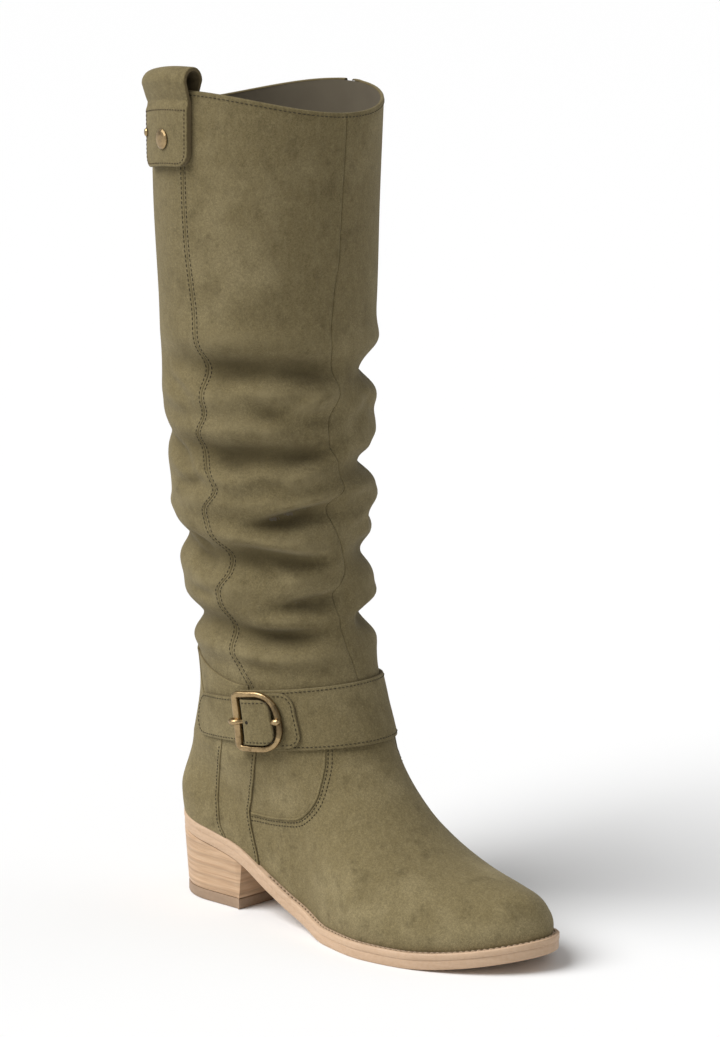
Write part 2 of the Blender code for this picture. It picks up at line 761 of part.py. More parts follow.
def make_buckle_prong():
    """A wire: an eye round the straight bar, a run under the tab and a tip over the far bar."""
    bar = -bar_place()
    level = buckle_low() + BUCKLE_DEPTH / 2
    eye = BUCKLE_BAR / 2 + GAP + PRONG_WIRE / 2
    run = buckle_low() + PRONG_WIRE / 2 + 0.0001
    top = buckle_low() + BUCKLE_DEPTH + GAP + PRONG_WIRE / 2
    path = []
    for k in range(10):
        a = math.radians(290 - 30 * k)
        path.append((bar + eye * math.cos(a), level + eye * math.sin(a)))
    rise = -bar - BUCKLE_BAR / 2 - 0.0030
    path += [(bar + eye + 0.0018, run), (0.0, run), (rise - 0.0012, run), (rise + 0.0014, (run + top) / 2)]
    path += [(-bar - 0.0008, top), (-bar + BUCKLE_BAR / 2, top)]
    points = [on_strap(d, 0.0, offset) for d, offset in path]
    make_wire("buckle_prong", points, PRONG_WIRE, BRASS)


def make_wire(name, points, width, finish):
    """A round wire through points that lie near one upright plane."""
    sides, ups = [], []
    lift = np.array([0.0, 0.0, 1.0])
    for i, point in enumerate(points):
        along = points[min(i + 1, len(points) - 1)] - points[max(i - 1, 0)]
        along /= np.linalg.norm(along)
        right = np.cross(along, lift)
        right /= np.linalg.norm(right)
        sides.append(right)
        ups.append(np.cross(right, along))
    return sweep(name, points, sides, ups, width, width, False, finish, 6)


# Pull loop


def on_collar(turn, height, offset):
    """A point at a height from the collar, up positive, outside the shaft's outer face."""
    row = min(row_at(turn, collar_height(turn) + height), 2.0)
    point = upper_point(turn, row) + outward(turn, 2.0) * offset
    point[2] += max(height, 0.0)
    return point


def loop_profile():
    """The loop's section: height from the collar, offset of its inner face, of its outer face."""
    thick = LOOP_THICKNESS
    double = SEAT + thick + LOOP_FLAP
    flap_end = -0.45 * LOOP_DROP
    section = [
        (-LOOP_DROP, SEAT, double),
        (-0.72 * LOOP_DROP, SEAT, double),
        (flap_end, SEAT, double),
        (flap_end + 0.0012, SEAT, SEAT + thick + 0.0004),
        (-0.24 * LOOP_DROP, SEAT + 0.0002, SEAT + thick + 0.0003),
        (-0.06 * LOOP_DROP, 0.0020, 0.0020 + thick),
    ]
    inside = -(WALL + SEAT)
    radius = 0.0054
    middle = 0.0042 - radius
    top = LOOP_RISE - radius - thick
    for k in range(7):
        a = math.pi * k / 6
        reach = middle + radius * math.cos(a)
        section.append((top + radius * math.sin(a), reach, reach + thick * math.cos(a)))
    for i in range(6, 13):
        a = math.pi * (i - 6) / 6
        height, low, high = section[i]
        section[i] = (height, low, high, top + (radius + thick) * math.sin(a))
    section += [(-0.0060, inside, inside - thick), (-LOOP_INNER_DROP, inside, inside - thick)]
    return [row if len(row) == 4 else (row[0], row[1], row[2], row[0]) for row in section]


def make_pull_loop():
    middle = (LOOP_ANGLE + 180) / 360
    half = LOOP_WIDTH / 2 / turn_width(middle, 2.0)
    columns = (-1.0, -0.86, -0.5, 0.0, 0.5, 0.86, 1.0)
    under, over = [], []
    for k, (height, low, high, high_height) in enumerate(loop_profile()):
        inner_line, outer_line = [], []
        for share in columns:
            turn = middle + half * share
            drop = corner_drop((1 - abs(share)) * LOOP_WIDTH / 2, LOOP_CORNER) if k == 0 else 0.0
            inner_line.append(on_collar(turn, height + drop, low))
            outer_line.append(on_collar(turn, high_height + drop, high))
        under.append(inner_line)
        over.append(outer_line)
    between("pull_loop", under, over, SUEDE)
    rivets = (("loop_rivet", 0.10, -0.64, RIVET_DIAMETER), ("loop_rivet_small", -0.84, -0.53, SMALL_RIVET_DIAMETER))
    for name, share, fall, diameter in rivets:
        turn = middle + half * share
        offset = SEAT + LOOP_THICKNESS + LOOP_FLAP + GAP
        centre = on_collar(turn, fall * LOOP_DROP, offset)
        dome(name, centre, outward(turn, 2.0), diameter, RIVET_HEIGHT, BRASS)


# Zip


def zip_rows():
    """The upper's own rows between the zip's two ends."""
    top = row_at(0.742, collar_height(0.742) - ZIP_TOP)
    first = ZIP_LINE[0][0]
    return [first] + [row for row in upper_rows() if first + 0.01 < row < top - 0.01] + [top]


def zip_band(name, width, low, high, parts, finish):
    under, over = [], []
    for row in zip_rows():
        middle = smooth(ZIP_LINE, 1, row)
        half = width / 2 / turn_width(middle, row)
        turns = [middle + half * share for share in np.linspace(-1.0, 1.0, parts + 1)]
        under.append([lifted(turn, row, low) for turn in turns])
        over.append([lifted(turn, row, high) for turn in turns])
    return between(name, under, over, finish)


def zip_frame():
    """Middle of the slider on the teeth's face, and its three directions: outwards, sideways, up."""
    turn = smooth(ZIP_LINE, 1, 2.0)
    row = row_at(turn, collar_height(turn) - ZIP_TOP - SLIDER_LENGTH / 2)
    out = outward(turn, 2.0)
    base = lifted(turn, row, SEAT + TAPE_THICKNESS + GAP + TEETH_THICKNESS + GAP)
    up = np.array([0.0, 0.0, 1.0])
    return base, out, np.cross(up, out), up


def block(bm, frame, sizes, centre):
    """A box in the slider's directions: sizes and centre are (outwards, sideways, up)."""
    base, out, side, up = frame
    corners = []
    for i in (-0.5, 0.5):
        for j in (-0.5, 0.5):
            for k in (-0.5, 0.5):
                place = (centre[0] + i * sizes[0], centre[1] + j * sizes[1], centre[2] + k * sizes[2])
                corners.append(bm.verts.new(base + out * place[0] + side * place[1] + up * place[2]))
    for quad in ((0, 1, 3, 2), (4, 6, 7, 5), (0, 4, 5, 1), (2, 3, 7, 6), (0, 2, 6, 4), (1, 5, 7, 3)):
        bm.faces.new([corners[k] for k in quad])


def make_slider():
    """A plate on the teeth with a bridge, the eye under it open from side to side."""
    frame = zip_frame()
    bm = bmesh.new()
    lean = SLIDER_THICKNESS / 2
    block(bm, frame, (SLIDER_THICKNESS, SLIDER_WIDTH, SLIDER_LENGTH), (lean, 0.0, 0.0))
    body = finish_mesh(bm, "zip_slider", BRASS)
    profile = [
        (-0.0005, BRIDGE_LENGTH / 2),
        (BRIDGE_RISE * 0.75, BRIDGE_LENGTH / 2),
        (BRIDGE_RISE, BRIDGE_LENGTH * 0.30),
        (BRIDGE_RISE, -BRIDGE_LENGTH * 0.30),
        (BRIDGE_RISE * 0.75, -BRIDGE_LENGTH / 2),
        (-0.0005, -BRIDGE_LENGTH / 2),
    ]
    inner = [
        (-0.0005, BRIDGE_LENGTH / 2 - BRIDGE_WALL),
        (BRIDGE_RISE * 0.75 - BRIDGE_WALL * 0.6, BRIDGE_LENGTH / 2 - BRIDGE_WALL),
        (BRIDGE_RISE - BRIDGE_WALL, BRIDGE_LENGTH * 0.22),
        (BRIDGE_RISE - BRIDGE_WALL, -BRIDGE_LENGTH * 0.22),
        (BRIDGE_RISE * 0.75 - BRIDGE_WALL * 0.6, -BRIDGE_LENGTH / 2 + BRIDGE_WALL),
        (-0.0005, -BRIDGE_LENGTH / 2 + BRIDGE_WALL),
    ]
    base, out, side, up = frame
    under, over = [], []
    for line in (profile, inner):
        places = [base + out * (SLIDER_THICKNESS + x) + up * z for x, z in line]
        under.append([place - side * (BRIDGE_WIDTH / 2) for place in places])
        over.append([place + side * (BRIDGE_WIDTH / 2) for place in places])
    bridge = between("slider_bridge", under, over, BRASS)
    bridge.hide_render = True
    bridge.display_type = "WIRE"
    union = body.modifiers.new("bridge", "BOOLEAN")
    union.operation = "UNION"
    union.object = bridge


def pull_axis():
    """A point on the pull's hinge line: the middle of the bridge's eye."""
    base, out, side, up = zip_frame()
    eye = SLIDER_THICKNESS + (BRIDGE_RISE - BRIDGE_WALL) / 2
    return base + out * eye, side


def make_pull():
    """A flat tab with a window at its top: its cross bar lies in the bridge's eye."""
    centre, side = pull_axis()
    base, out, side, up = zip_frame()
    half = PULL_WIDTH / 2
    opening = BRIDGE_WIDTH / 2 + 0.0006
    bar = PULL_BAR / 2
    stations = [bar, -bar, bar - PULL_WINDOW, -0.36 * PULL_LENGTH, -0.70 * PULL_LENGTH]
    stations += [-0.93 * PULL_LENGTH, bar - PULL_LENGTH]
    narrow = [1.0, 1.0, 1.0, 0.92, 1.0, 1.0, 0.62]
    under, over = [], []
    for z, share in zip(stations, narrow):
        places = [-half * share, -opening, opening, half * share]
        if share < 0.9:
            places = [-half * share, -opening * share, opening * share, half * share]
        thick = PULL_BAR if z > -bar - 1e-9 else PULL_THICKNESS
        line = [centre + side * y + up * z for y in places]
        under.append([point - out * thick / 2 for point in line])
        over.append([point + out * thick / 2 for point in line])
    between("zip_pull", under, over, BRASS, [(1, 1)])


def make_zip():
    zip_band("zip_tape", TAPE_WIDTH, SEAT, SEAT + TAPE_THICKNESS, 2, TAPE)
    low = SEAT + TAPE_THICKNESS + GAP
    zip_band("zip_teeth", TEETH_WIDTH, low, low + TEETH_THICKNESS, 1, TEETH)
    make_slider()
    make_pull()


# Finishes: colour, metallic, roughness

SUEDE = ("suede", (0.150, 0.125, 0.062), 0.0, 0.90)
SOLE = ("tan_sole", (0.520, 0.345, 0.205), 0.0, 0.60)
STACK = ("stacked_wood", (0.560, 0.375, 0.220), 0.0, 0.55)
LIFT = ("heel_lift", (0.400, 0.255, 0.150), 0.0, 0.65)
LINING = ("lining", (0.330, 0.260, 0.170), 0.0, 0.85)
BRASS = ("antique_brass", (0.330, 0.215, 0.095), 1.0, 0.38)
TAPE = ("zip_tape", (0.050, 0.040, 0.022), 0.0, 0.90)
TEETH = ("zip_teeth", (0.090, 0.065, 0.035), 0.6, 0.50)


def material(finish):
    name, colour, metallic, roughness = finish
    found = bpy.data.materials.get(name)
    if found:
        return found
    made = bpy.data.materials.new(name)
    made.use_nodes = True
    shader = made.node_tree.nodes["Principled BSDF"]
    shader.inputs["Base Color"].default_value = (*colour, 1.0)
    shader.inputs["Metallic"].default_value = metallic
    shader.inputs["Roughness"].default_value = roughness
    return made


def finish_mesh(bm, name, finish):
    """Turns a closed bmesh into a named object with its material, faces pointing out."""
    bmesh.ops.recalc_face_normals(bm, faces=bm.faces)
    mesh = bpy.data.meshes.new(name)
    bm.to_mesh(mesh)
    bm.free()
    mesh.materials.append(material(finish))
    mesh.shade_smooth()
    mesh.set_sharp_from_angle(angle=math.radians(35))
    made = bpy.data.objects.new(name, mesh)
    bpy.context.collection.objects.link(made)
    return made


def make_sole():
    outer, inner = feather_outline()
    full = grow(outer, inner, rim(outer))
    slab("welt", *full, lambda x: underside(x) + OUTSOLE_THICKNESS + GAP, welt_top, SOLE)
    under = grow(outer, inner, rim(outer) - GAP)
    slab("outsole", *under, underside, lambda x: underside(x) + OUTSOLE_THICKNESS, SOLE)
    back = feather_outline(HEEL_LENGTH / LAST_LENGTH)
    heel = grow(*back, np.full(len(back[0]), WELT_RIM_HEEL - GAP))
    sole_x = under[0][:, 0]

    def seat(x):
        return np.interp(x, sole_x, underside(sole_x)) - GAP

    slab("heel_block", *heel, lambda x: LIFT_THICKNESS + GAP, seat, STACK, HEEL_TAPER)
    lift = grow(*heel, np.full(len(heel[0]), -HEEL_TAPER))
    slab("top_lift", *lift, lambda x: 0.0, lambda x: LIFT_THICKNESS, LIFT)
    sock = grow(outer, inner, np.full(len(outer), -(WALL + INSOLE_CLEARANCE)))
    slab("insole", *sock, sole_top, lambda x: sole_top(x) + INSOLE_THICKNESS, LINING)


def centre_on_footprint():
    """Moves every piece so that the origin is the middle of the boot's footprint."""
    pieces = [made for made in bpy.context.collection.objects if made.type == "MESH"]
    corners = np.concatenate([[v.co[:] for v in made.data.vertices] for made in pieces])
    middle = (corners.max(0) + corners.min(0)) / 2
    for made in pieces:
        for vertex in made.data.vertices:
            vertex.co.x -= middle[0]
            vertex.co.y -= middle[1]


def main():
    for old in list(bpy.data.objects):
        bpy.data.objects.remove(old, do_unlink=True)
    make_sole()
    make_upper()
    make_counter()
    make_strap()
    make_buckle_base()
    make_buckle_tab()
    make_buckle_frame()
    make_buckle_prong()
    make_pull_loop()
    make_zip()
    centre_on_footprint()


main()
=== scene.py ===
import math
import bpy
import numpy as np
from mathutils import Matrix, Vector


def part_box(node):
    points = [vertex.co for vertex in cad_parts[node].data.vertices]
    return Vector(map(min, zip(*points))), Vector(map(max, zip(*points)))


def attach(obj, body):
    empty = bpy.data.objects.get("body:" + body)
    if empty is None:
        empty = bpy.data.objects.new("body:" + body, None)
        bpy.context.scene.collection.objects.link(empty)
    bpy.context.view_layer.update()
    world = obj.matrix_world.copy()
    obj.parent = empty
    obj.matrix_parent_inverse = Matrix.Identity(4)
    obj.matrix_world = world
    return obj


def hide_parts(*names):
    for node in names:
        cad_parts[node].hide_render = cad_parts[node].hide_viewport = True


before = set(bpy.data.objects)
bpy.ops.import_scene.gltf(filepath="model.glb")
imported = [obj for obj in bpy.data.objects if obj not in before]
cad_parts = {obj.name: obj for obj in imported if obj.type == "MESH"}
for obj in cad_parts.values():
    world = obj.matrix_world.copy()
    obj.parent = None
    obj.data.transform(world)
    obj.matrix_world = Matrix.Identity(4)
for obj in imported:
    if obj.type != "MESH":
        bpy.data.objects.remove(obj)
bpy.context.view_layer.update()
print("frame loaded:", len(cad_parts), "nodes")

# Lengths are in metres. Round the leg a place is a turn: 0 back, 0.25 outer side, 0.5 front, 0.75 inner side.
# Up the boot it is a row: 0 at the welt, 1 at the ankle, 2 at the collar.

boot = {
    "lastLength": 0.256, "ballWidth": 0.089, "heelHeight": 0.040, "heelLength": 0.061,
    "toeSpring": 0.0085, "springStart": 0.77, "toeStart": 0.68, "noseStart": 0.90, "heelRound": 0.13,
    "ankleHeight": 0.094, "shaftHeight": 0.448, "collarRise": 0.0117, "shaftDepth": 0.131,
    "wall": 0.0020, "seat": 0.0004, "gap": 0.0003,
    "outsoleThickness": 0.0050, "weltThickness": 0.0037, "weltRim": 0.0034, "weltRimHeel": 0.0020,
    "liftThickness": 0.0060, "heelTaper": 0.0022, "strapHeight": 0.1200, "strapWidth": 0.0330,
}

# outline at the feather edge: station, half width, middle line (shares of the ball width)
outlineRows = (
    (0.00, 0.340, 0.000), (0.12, 0.343, 0.000), (0.24, 0.332, -0.010), (0.42, 0.318, -0.042),
    (0.56, 0.425, -0.050), (0.68, 0.500, -0.026), (0.78, 0.500, 0.000), (0.90, 0.490, 0.036),
    (1.00, 0.480, 0.060),
)

# underside of the outsole: station, height (share of the heel height)
undersideRows = (
    (0.00, 1.00), (0.11, 0.89), (0.23, 0.725), (0.34, 0.40), (0.45, 0.12), (0.55, 0.00), (0.78, 0.00),
    (1.00, 0.00),
)

# top line of the foot: station, height above the sole (share of the ankle height)
ridgeRows = (
    (0.547, 0.900), (0.565, 0.835), (0.595, 0.735), (0.63, 0.642), (0.68, 0.526), (0.75, 0.424),
    (0.86, 0.335), (0.93, 0.285), (1.00, 0.270),
)

# rows of the foot: row, front station, back height (share of the rise to the ankle)
fanRows = (
    (0.00, 1.000, 0.00), (0.08, 0.997, 0.05), (0.16, 0.985, 0.11), (0.24, 0.960, 0.18), (0.32, 0.920, 0.26),
    (0.40, 0.870, 0.34), (0.48, 0.815, 0.42), (0.56, 0.760, 0.50), (0.64, 0.708, 0.58), (0.72, 0.660, 0.67),
    (0.80, 0.620, 0.76), (0.88, 0.587, 0.85), (1.00, 0.547, 1.00),
)

# back line of the foot: row, set back (share of the last length)
backRows = (
    (0.00, 0.000), (0.15, -0.003), (0.35, -0.005), (0.60, -0.002), (0.85, 0.007), (1.00, 0.014),
)

# shaft: height share, middle x (share of last length), middle y (share of ball width),
# depth, width (shares of shaft depth)
shaftRows = (
    (0.210, 0.2805, 0.045, 1.040, 0.625), (0.240, 0.2780, 0.045, 0.965, 0.632),
    (0.275, 0.2720, 0.045, 0.885, 0.640), (0.313, 0.2610, 0.040, 0.840, 0.652),
    (0.360, 0.2450, 0.034, 0.828, 0.680), (0.446, 0.2270, 0.022, 0.850, 0.735),
    (0.536, 0.2220, 0.004, 0.886, 0.806), (0.670, 0.2110, 0.000, 0.908, 0.862),
    (0.781, 0.2180, -0.010, 0.940, 0.900), (0.893, 0.2190, -0.020, 0.970, 0.924),
    (1.030, 0.2240, -0.020, 1.000, 0.940),
)

# slouch folds: height share, angle, half span, climb, depth, half width (the last two are shares of shaft depth)
foldRows = (
    (0.694, -62, 78, 0.000, 0.042, 0.078), (0.684, 48, 60, 0.000, 0.046, 0.076),
    (0.630, -102, 44, 0.000, 0.020, 0.056), (0.634, -35, 36, -0.004, 0.024, 0.058),
    (0.588, -78, 74, -0.004, 0.048, 0.078), (0.564, 50, 66, 0.000, 0.050, 0.076),
    (0.532, 140, 52, 0.002, 0.044, 0.076), (0.549, -98, 40, -0.004, 0.018, 0.052),
    (0.518, -50, 62, 0.028, 0.032, 0.060), (0.458, -88, 70, -0.014, 0.056, 0.076),
    (0.455, 46, 58, 0.002, 0.046, 0.074), (0.411, 140, 52, 0.002, 0.044, 0.070),
    (0.410, -50, 38, 0.012, 0.022, 0.056), (0.368, -90, 74, -0.004, 0.046, 0.070),
    (0.370, 46, 56, 0.000, 0.042, 0.070), (0.340, 136, 48, 0.000, 0.026, 0.062),
    (0.312, -60, 90, 0.000, 0.018, 0.056), (0.603, -150, 44, 0.000, 0.018, 0.060),
    (0.471, -156, 46, 0.000, 0.036, 0.072), (0.367, -156, 46, 0.000, 0.034, 0.066),
)

# line of the zip down the inner side: row, turn
zipRows = (
    (0.25, 0.817), (0.55, 0.787), (0.80, 0.757), (1.00, 0.738), (1.15, 0.732), (1.28, 0.724), (1.42, 0.742),
    (1.55, 0.733), (2.00, 0.742),
)

# creases between the folds, in mm and degrees: height and angle of the middle, half span, climb, bow,
# depth, width above, width below
creaseRows = (
    (306.5, -70, 21, 0.5, 0.0, 3.2, 8.0, 7.0), (308.0, -20, 22, -2.5, 0.0, 3.0, 9.5, 7.0),
    (260.5, -70, 21, 1.0, 0.0, 3.6, 7.0, 6.5), (263.5, -22, 24, -1.5, 0.0, 3.2, 8.5, 7.0),
    (289.0, -50, 25, -13.0, 0.0, 2.4, 5.0, 6.5), (288.5, -26, 28, 14.0, 0.0, -2.6, 5.0, 6.0),
    (334.0, -40, 34, -3.0, -3.0, 1.5, 9.0, 9.0), (352.0, -20, 26, 5.0, 0.0, 0.8, 8.0, 8.0),
    (250.5, -56, 25, -10.5, 0.0, 2.4, 4.5, 6.5), (256.5, -19, 28, 10.0, 0.0, -2.4, 4.5, 6.0),
    (196.0, -50, 17, -6.5, 0.0, 1.8, 4.0, 5.5), (197.0, -26, 27, 6.0, 0.0, -1.9, 4.0, 5.0),
    (171.0, -50, 25, 4.0, 0.0, -1.9, 4.0, 4.5), (285.0, 30, 18, -9.0, 0.0, 1.2, 4.0, 6.0),
    (310.5, -44, 42, -0.7, -5.4, 2.2, 10.1, 7.5), (264.3, -44, 38, 0.6, -6.0, 2.4, 9.0, 6.9),
    (241.8, -55, 20, 2.2, 0.0, 2.4, 6.2, 4.6), (237.0, -30, 62, 7.0, -4.0, -4.1, 6.7, 5.2),
    (230.0, -36, 36, 9.0, -1.5, 7.2, 3.4, 9.8), (237.6, 10, 26, -0.8, 0.0, 2.3, 3.4, 6.9),
    (207.6, -45, 38, -4.6, -1.0, 6.4, 3.6, 8.6), (192.0, -60, 20, -1.3, 0.0, 3.0, 4.5, 5.8),
    (181.0, -30, 32, 4.6, 0.5, 5.9, 3.8, 9.2), (162.2, -46, 44, 3.2, 1.8, 5.6, 4.0, 7.5),
    (140.5, -60, 24, -4.2, 1.2, 2.4, 4.5, 4.6), (257.0, 26, 20, -5.0, 0.0, 1.3, 3.4, 6.9),
    (297.2, -103, 16, -4.6, -1.0, 2.3, 4.0, 5.5), (258.5, -108, 20, -9.0, -2.0, 2.3, 4.0, 5.5),
    (243.5, -100, 15, 3.0, 0.0, 1.8, 4.0, 5.0), (212.5, -104, 11, -3.6, 0.0, 1.8, 3.0, 4.5),
    (201.3, -101, 16, -3.2, 0.0, 2.2, 3.2, 5.0), (182.6, -101, 14, 0.4, 0.0, 1.6, 3.0, 4.5),
    (302.0, 27, 24, 0.8, 0.0, 1.1, 4.5, 6.9), (283.0, 16, 15, 6.6, 0.0, 1.1, 4.5, 6.9),
    (221.0, 12, 14, 3.0, 0.0, 1.1, 3.4, 5.8), (167.0, 20, 26, -6.2, 0.0, 1.1, 3.4, 6.9),
    (303.0, 48, 24, 0.0, 0.0, 2.8, 9.0, 8.0), (258.0, 52, 26, 0.0, 0.0, 3.5, 9.0, 8.0),
    (227.5, 50, 28, 6.0, 1.0, 5.6, 3.8, 9.2), (210.5, 20, 22, -3.0, 0.0, 1.8, 3.9, 8.0),
    (172.5, 40, 34, 4.0, 2.5, 4.5, 3.9, 8.0), (154.5, 24, 24, -3.5, 0.0, 1.6, 3.9, 6.9),
    (230.0, 100, 14, 4.0, 0.0, 2.0, 3.0, 5.0), (192.0, 101, 14, 3.0, 0.0, 1.9, 3.0, 5.0),
    (172.0, 102, 16, 2.0, 0.0, 1.6, 3.0, 5.0), (281.0, 150, 40, 2.0, 2.0, 2.2, 5.0, 6.0),
    (223.0, -160, 40, -3.0, 2.0, 2.7, 4.0, 6.0), (183.0, 165, 40, 2.0, 2.0, 2.4, 4.0, 6.0),
)


def columnAt(rows, column, at):  # one column of a table at a place in its first column, without overshoot
    place = np.array([row[0] for row in rows])
    value = np.array([row[column] for row in rows])
    step = np.diff(place)
    slope = np.diff(value) / step
    tangent = np.zeros(len(rows))
    for i in range(1, len(rows) - 1):
        if slope[i - 1] * slope[i] > 0:
            before = 2 * step[i] + step[i - 1]
            after = step[i] + 2 * step[i - 1]
            tangent[i] = (before + after) / (before / slope[i - 1] + after / slope[i])
    tangent[0] = slope[0]
    tangent[-1] = slope[-1]
    at = np.clip(at, place[0], place[-1])
    k = np.clip(np.searchsorted(place, at, side="right") - 1, 0, len(rows) - 2)
    t = (at - place[k]) / step[k]
    start = value[k] + t * t * (3 - 2 * t) * (value[k + 1] - value[k])
    return start + step[k] * (t * (1 - t) ** 2 * tangent[k] - t * t * (1 - t) * tangent[k + 1])


def easeAt(low, high, at):
    t = np.clip((np.asarray(at, float) - low) / (high - low), 0.0, 1.0)
    return t * t * (3 - 2 * t)


def undersideAt(x):
    station = x / boot["lastLength"]
    lift = np.clip((station - boot["springStart"]) / (1 - boot["springStart"]), 0.0, 1.2)
    return boot["heelHeight"] * columnAt(undersideRows, 1, station) + boot["toeSpring"] * lift ** 1.7


def weltTop(x):
    return undersideAt(x) + boot["outsoleThickness"] + boot["gap"] + boot["weltThickness"]


def soleTop(x):
    return weltTop(x) + boot["gap"]


def halfWidth(station):
    toe = np.clip((station - boot["toeStart"]) / (1 - boot["toeStart"]), 0.0, 1.0)
    return boot["ballWidth"] * columnAt(outlineRows, 1, station) * (1 - toe ** 2.15) ** 0.56


def heelClose(run):
    near = np.clip(1 - run / (boot["heelRound"] * boot["lastLength"]), 0.0, 1.0)
    return np.sqrt(np.clip(1 - near * near, 0.0, 1.0))


def middleLine(station):
    return boot["ballWidth"] * columnAt(outlineRows, 2, station)


def ridgeAt(station):
    nose = np.clip((station - boot["noseStart"]) / (1 - boot["noseStart"]), 0.0, 1.0)
    return boot["ankleHeight"] * columnAt(ridgeRows, 1, station) * (1 - nose ** 2.4) ** 0.5


def footPoint(turn, row):
    phase = 2 * math.pi * turn
    front = columnAt(fanRows, 1, row)
    back = columnAt(backRows, 1, row)
    share = (1 - np.cos(phase)) / 2
    station = back + (front - back) * share
    x = station * boot["lastLength"]
    riseBack = (boot["ankleHeight"] - soleTop(0.0)) * columnAt(fanRows, 2, row)
    riseFront = ridgeAt(front)
    rise = riseBack + (riseFront - riseBack) * share
    level = soleTop(back * boot["lastLength"]) + riseBack
    level = level + (soleTop(front * boot["lastLength"]) + riseFront - level) * share
    up = np.minimum(rise / np.maximum(ridgeAt(station), 1e-6), 1.0)
    close = heelClose((station - back) * boot["lastLength"])
    swell = 1 + 0.05 * np.sin(math.pi * np.minimum(up / 0.55, 1.0))
    foot = halfWidth(np.maximum(station, 0.0)) * close * swell * (1 - up ** 2.3) ** 0.52
    ankle = boot["shaftDepth"] * columnAt(shaftRows, 4, 0.0) / 2 * np.abs(np.sin(phase))
    leg = easeAt(0.35, 1.0, row)
    half = foot + (ankle - foot) * leg
    side = np.where(turn % 1.0 < 0.5, -1.0, 1.0)
    middle = middleLine(station) * (1 - up * up) + boot["ballWidth"] * 0.05 * up * up
    middle = middle + (boot["ballWidth"] * columnAt(shaftRows, 2, 0.0) - middle) * leg
    flat = easeAt(0.25, 1.0, row)
    z = (soleTop(x) + rise) * (1 - flat) + level * flat
    return np.stack([x, middle + side * half, z], -1)


def foldPush(angle, height):  # the big folds that the solid has too
    total = np.zeros(np.broadcast(angle, height).shape)
    for place, around, span, climb, depth, width in foldRows:
        off = (angle - around + 180.0) % 360.0 - 180.0
        fade = np.cos(math.pi * np.clip(off / (2 * span), -0.5, 0.5)) ** 1.3
        centre = boot["shaftHeight"] * (place + climb * off / span)
        q = (height - centre) / (boot["shaftDepth"] * width)
        total -= boot["shaftDepth"] * depth * fade * (1 - q * q) * np.exp(-q * q / 1.6)
    return total


def creasePush(angle, height):  # the smaller creases between them
    total = np.zeros(np.broadcast(angle, height).shape)
    for place, around, span, climb, bow, depth, above, below in creaseRows:
        off = ((angle - around + 180.0) % 360.0 - 180.0) / span
        fade = np.cos(math.pi * np.clip(off / 2, -0.5, 0.5)) ** 1.2
        run = (height * 1000 - place - climb * off - bow * off * off)
        width = np.where(run > 0, above, below)
        q = run / width
        total -= 0.001 * depth * fade * (1.15 * np.exp(-q * q) - 0.35 * np.exp(-((np.abs(q) - 1.7) / 0.9) ** 2))
    return total


def collarHeight(turn):
    return boot["shaftHeight"] + boot["collarRise"] * np.sin(2 * math.pi * turn) ** 2


def shaftPoint(turn, height):
    phase = 2 * math.pi * turn
    share = height / boot["shaftHeight"]
    depth = boot["shaftDepth"] * columnAt(shaftRows, 3, share) / 2
    width = boot["shaftDepth"] * columnAt(shaftRows, 4, share) / 2
    angle = np.degrees(np.arctan2(-np.sin(phase), -np.cos(phase)))
    calm = easeAt(boot["strapHeight"] + 0.5 * boot["strapWidth"], boot["strapHeight"] + boot["strapWidth"], height)
    quiet = 1 - easeAt(boot["shaftHeight"] - 0.045, boot["shaftHeight"] - 0.012, height)
    push = (foldPush(angle, height) + creasePush(angle, height) * quiet) * calm
    x = boot["lastLength"] * columnAt(shaftRows, 1, share) - (depth + push) * np.cos(phase)
    y = boot["ballWidth"] * columnAt(shaftRows, 2, share) - (width + push) * np.sin(phase)
    return np.stack([x, y, height + 0 * x], -1)


def upperPoint(turn, row):
    turn, row = np.broadcast_arrays(np.asarray(turn, float), np.asarray(row, float))
    foot = footPoint(turn % 1.0, np.clip(row, 0.0, 1.0))
    climb = np.maximum(row, 1.0) - 1
    shaft = shaftPoint(turn % 1.0, boot["ankleHeight"] + climb * (collarHeight(turn) - boot["ankleHeight"]))
    return np.where((row <= 1.0)[..., None], foot, shaft)


def rowAt(turn, height):
    return 1 + (height - boot["ankleHeight"]) / (collarHeight(turn) - boot["ankleHeight"])


def heightAt(turn, row):
    return boot["ankleHeight"] + (row - 1) * (collarHeight(turn) - boot["ankleHeight"])


def runAlong(points):  # distance of each point from the first, along the line
    return np.append(0.0, np.cumsum(np.linalg.norm(np.diff(points, axis=0), axis=1)))


def unit(vectors):
    return vectors / np.maximum(np.linalg.norm(vectors, axis=-1, keepdims=True), 1e-12)


def outwardAt(turn, row):
    turn, row = np.broadcast_arrays(np.asarray(turn, float), np.asarray(row, float))
    step = 0.003
    across = upperPoint(turn + step, row) - upperPoint(turn - step, row)
    low = np.maximum(row - step, 0.0)
    high = np.minimum(row + step, 2.0)
    high = np.where((row < 1.0) & (high > 1.0), 1.0, high)
    normal = np.cross(across, upperPoint(turn, high) - upperPoint(turn, low))
    ends = (row <= 0.0) | (row >= 2.0)
    normal[..., 2] = np.where(ends, 0.0, normal[..., 2])
    return unit(normal)


def skinPoint(turn, row, offset):  # a point at a distance outside the suede's face, in the frame's place
    turn, row, offset = np.broadcast_arrays(*(np.asarray(value, float) for value in (turn, row, offset)))
    point = upperPoint(turn, row) + outwardAt(turn, row) * offset[..., None]
    point[..., 2] = np.where(row <= 0.0, soleTop(point[..., 0]), point[..., 2])
    return point + footprint


def turnLength(turn, row):  # metres of surface for one whole turn at this place
    step = 0.002
    return np.linalg.norm(upperPoint(turn + step, row) - upperPoint(turn - step, row), axis=-1) / (2 * step)


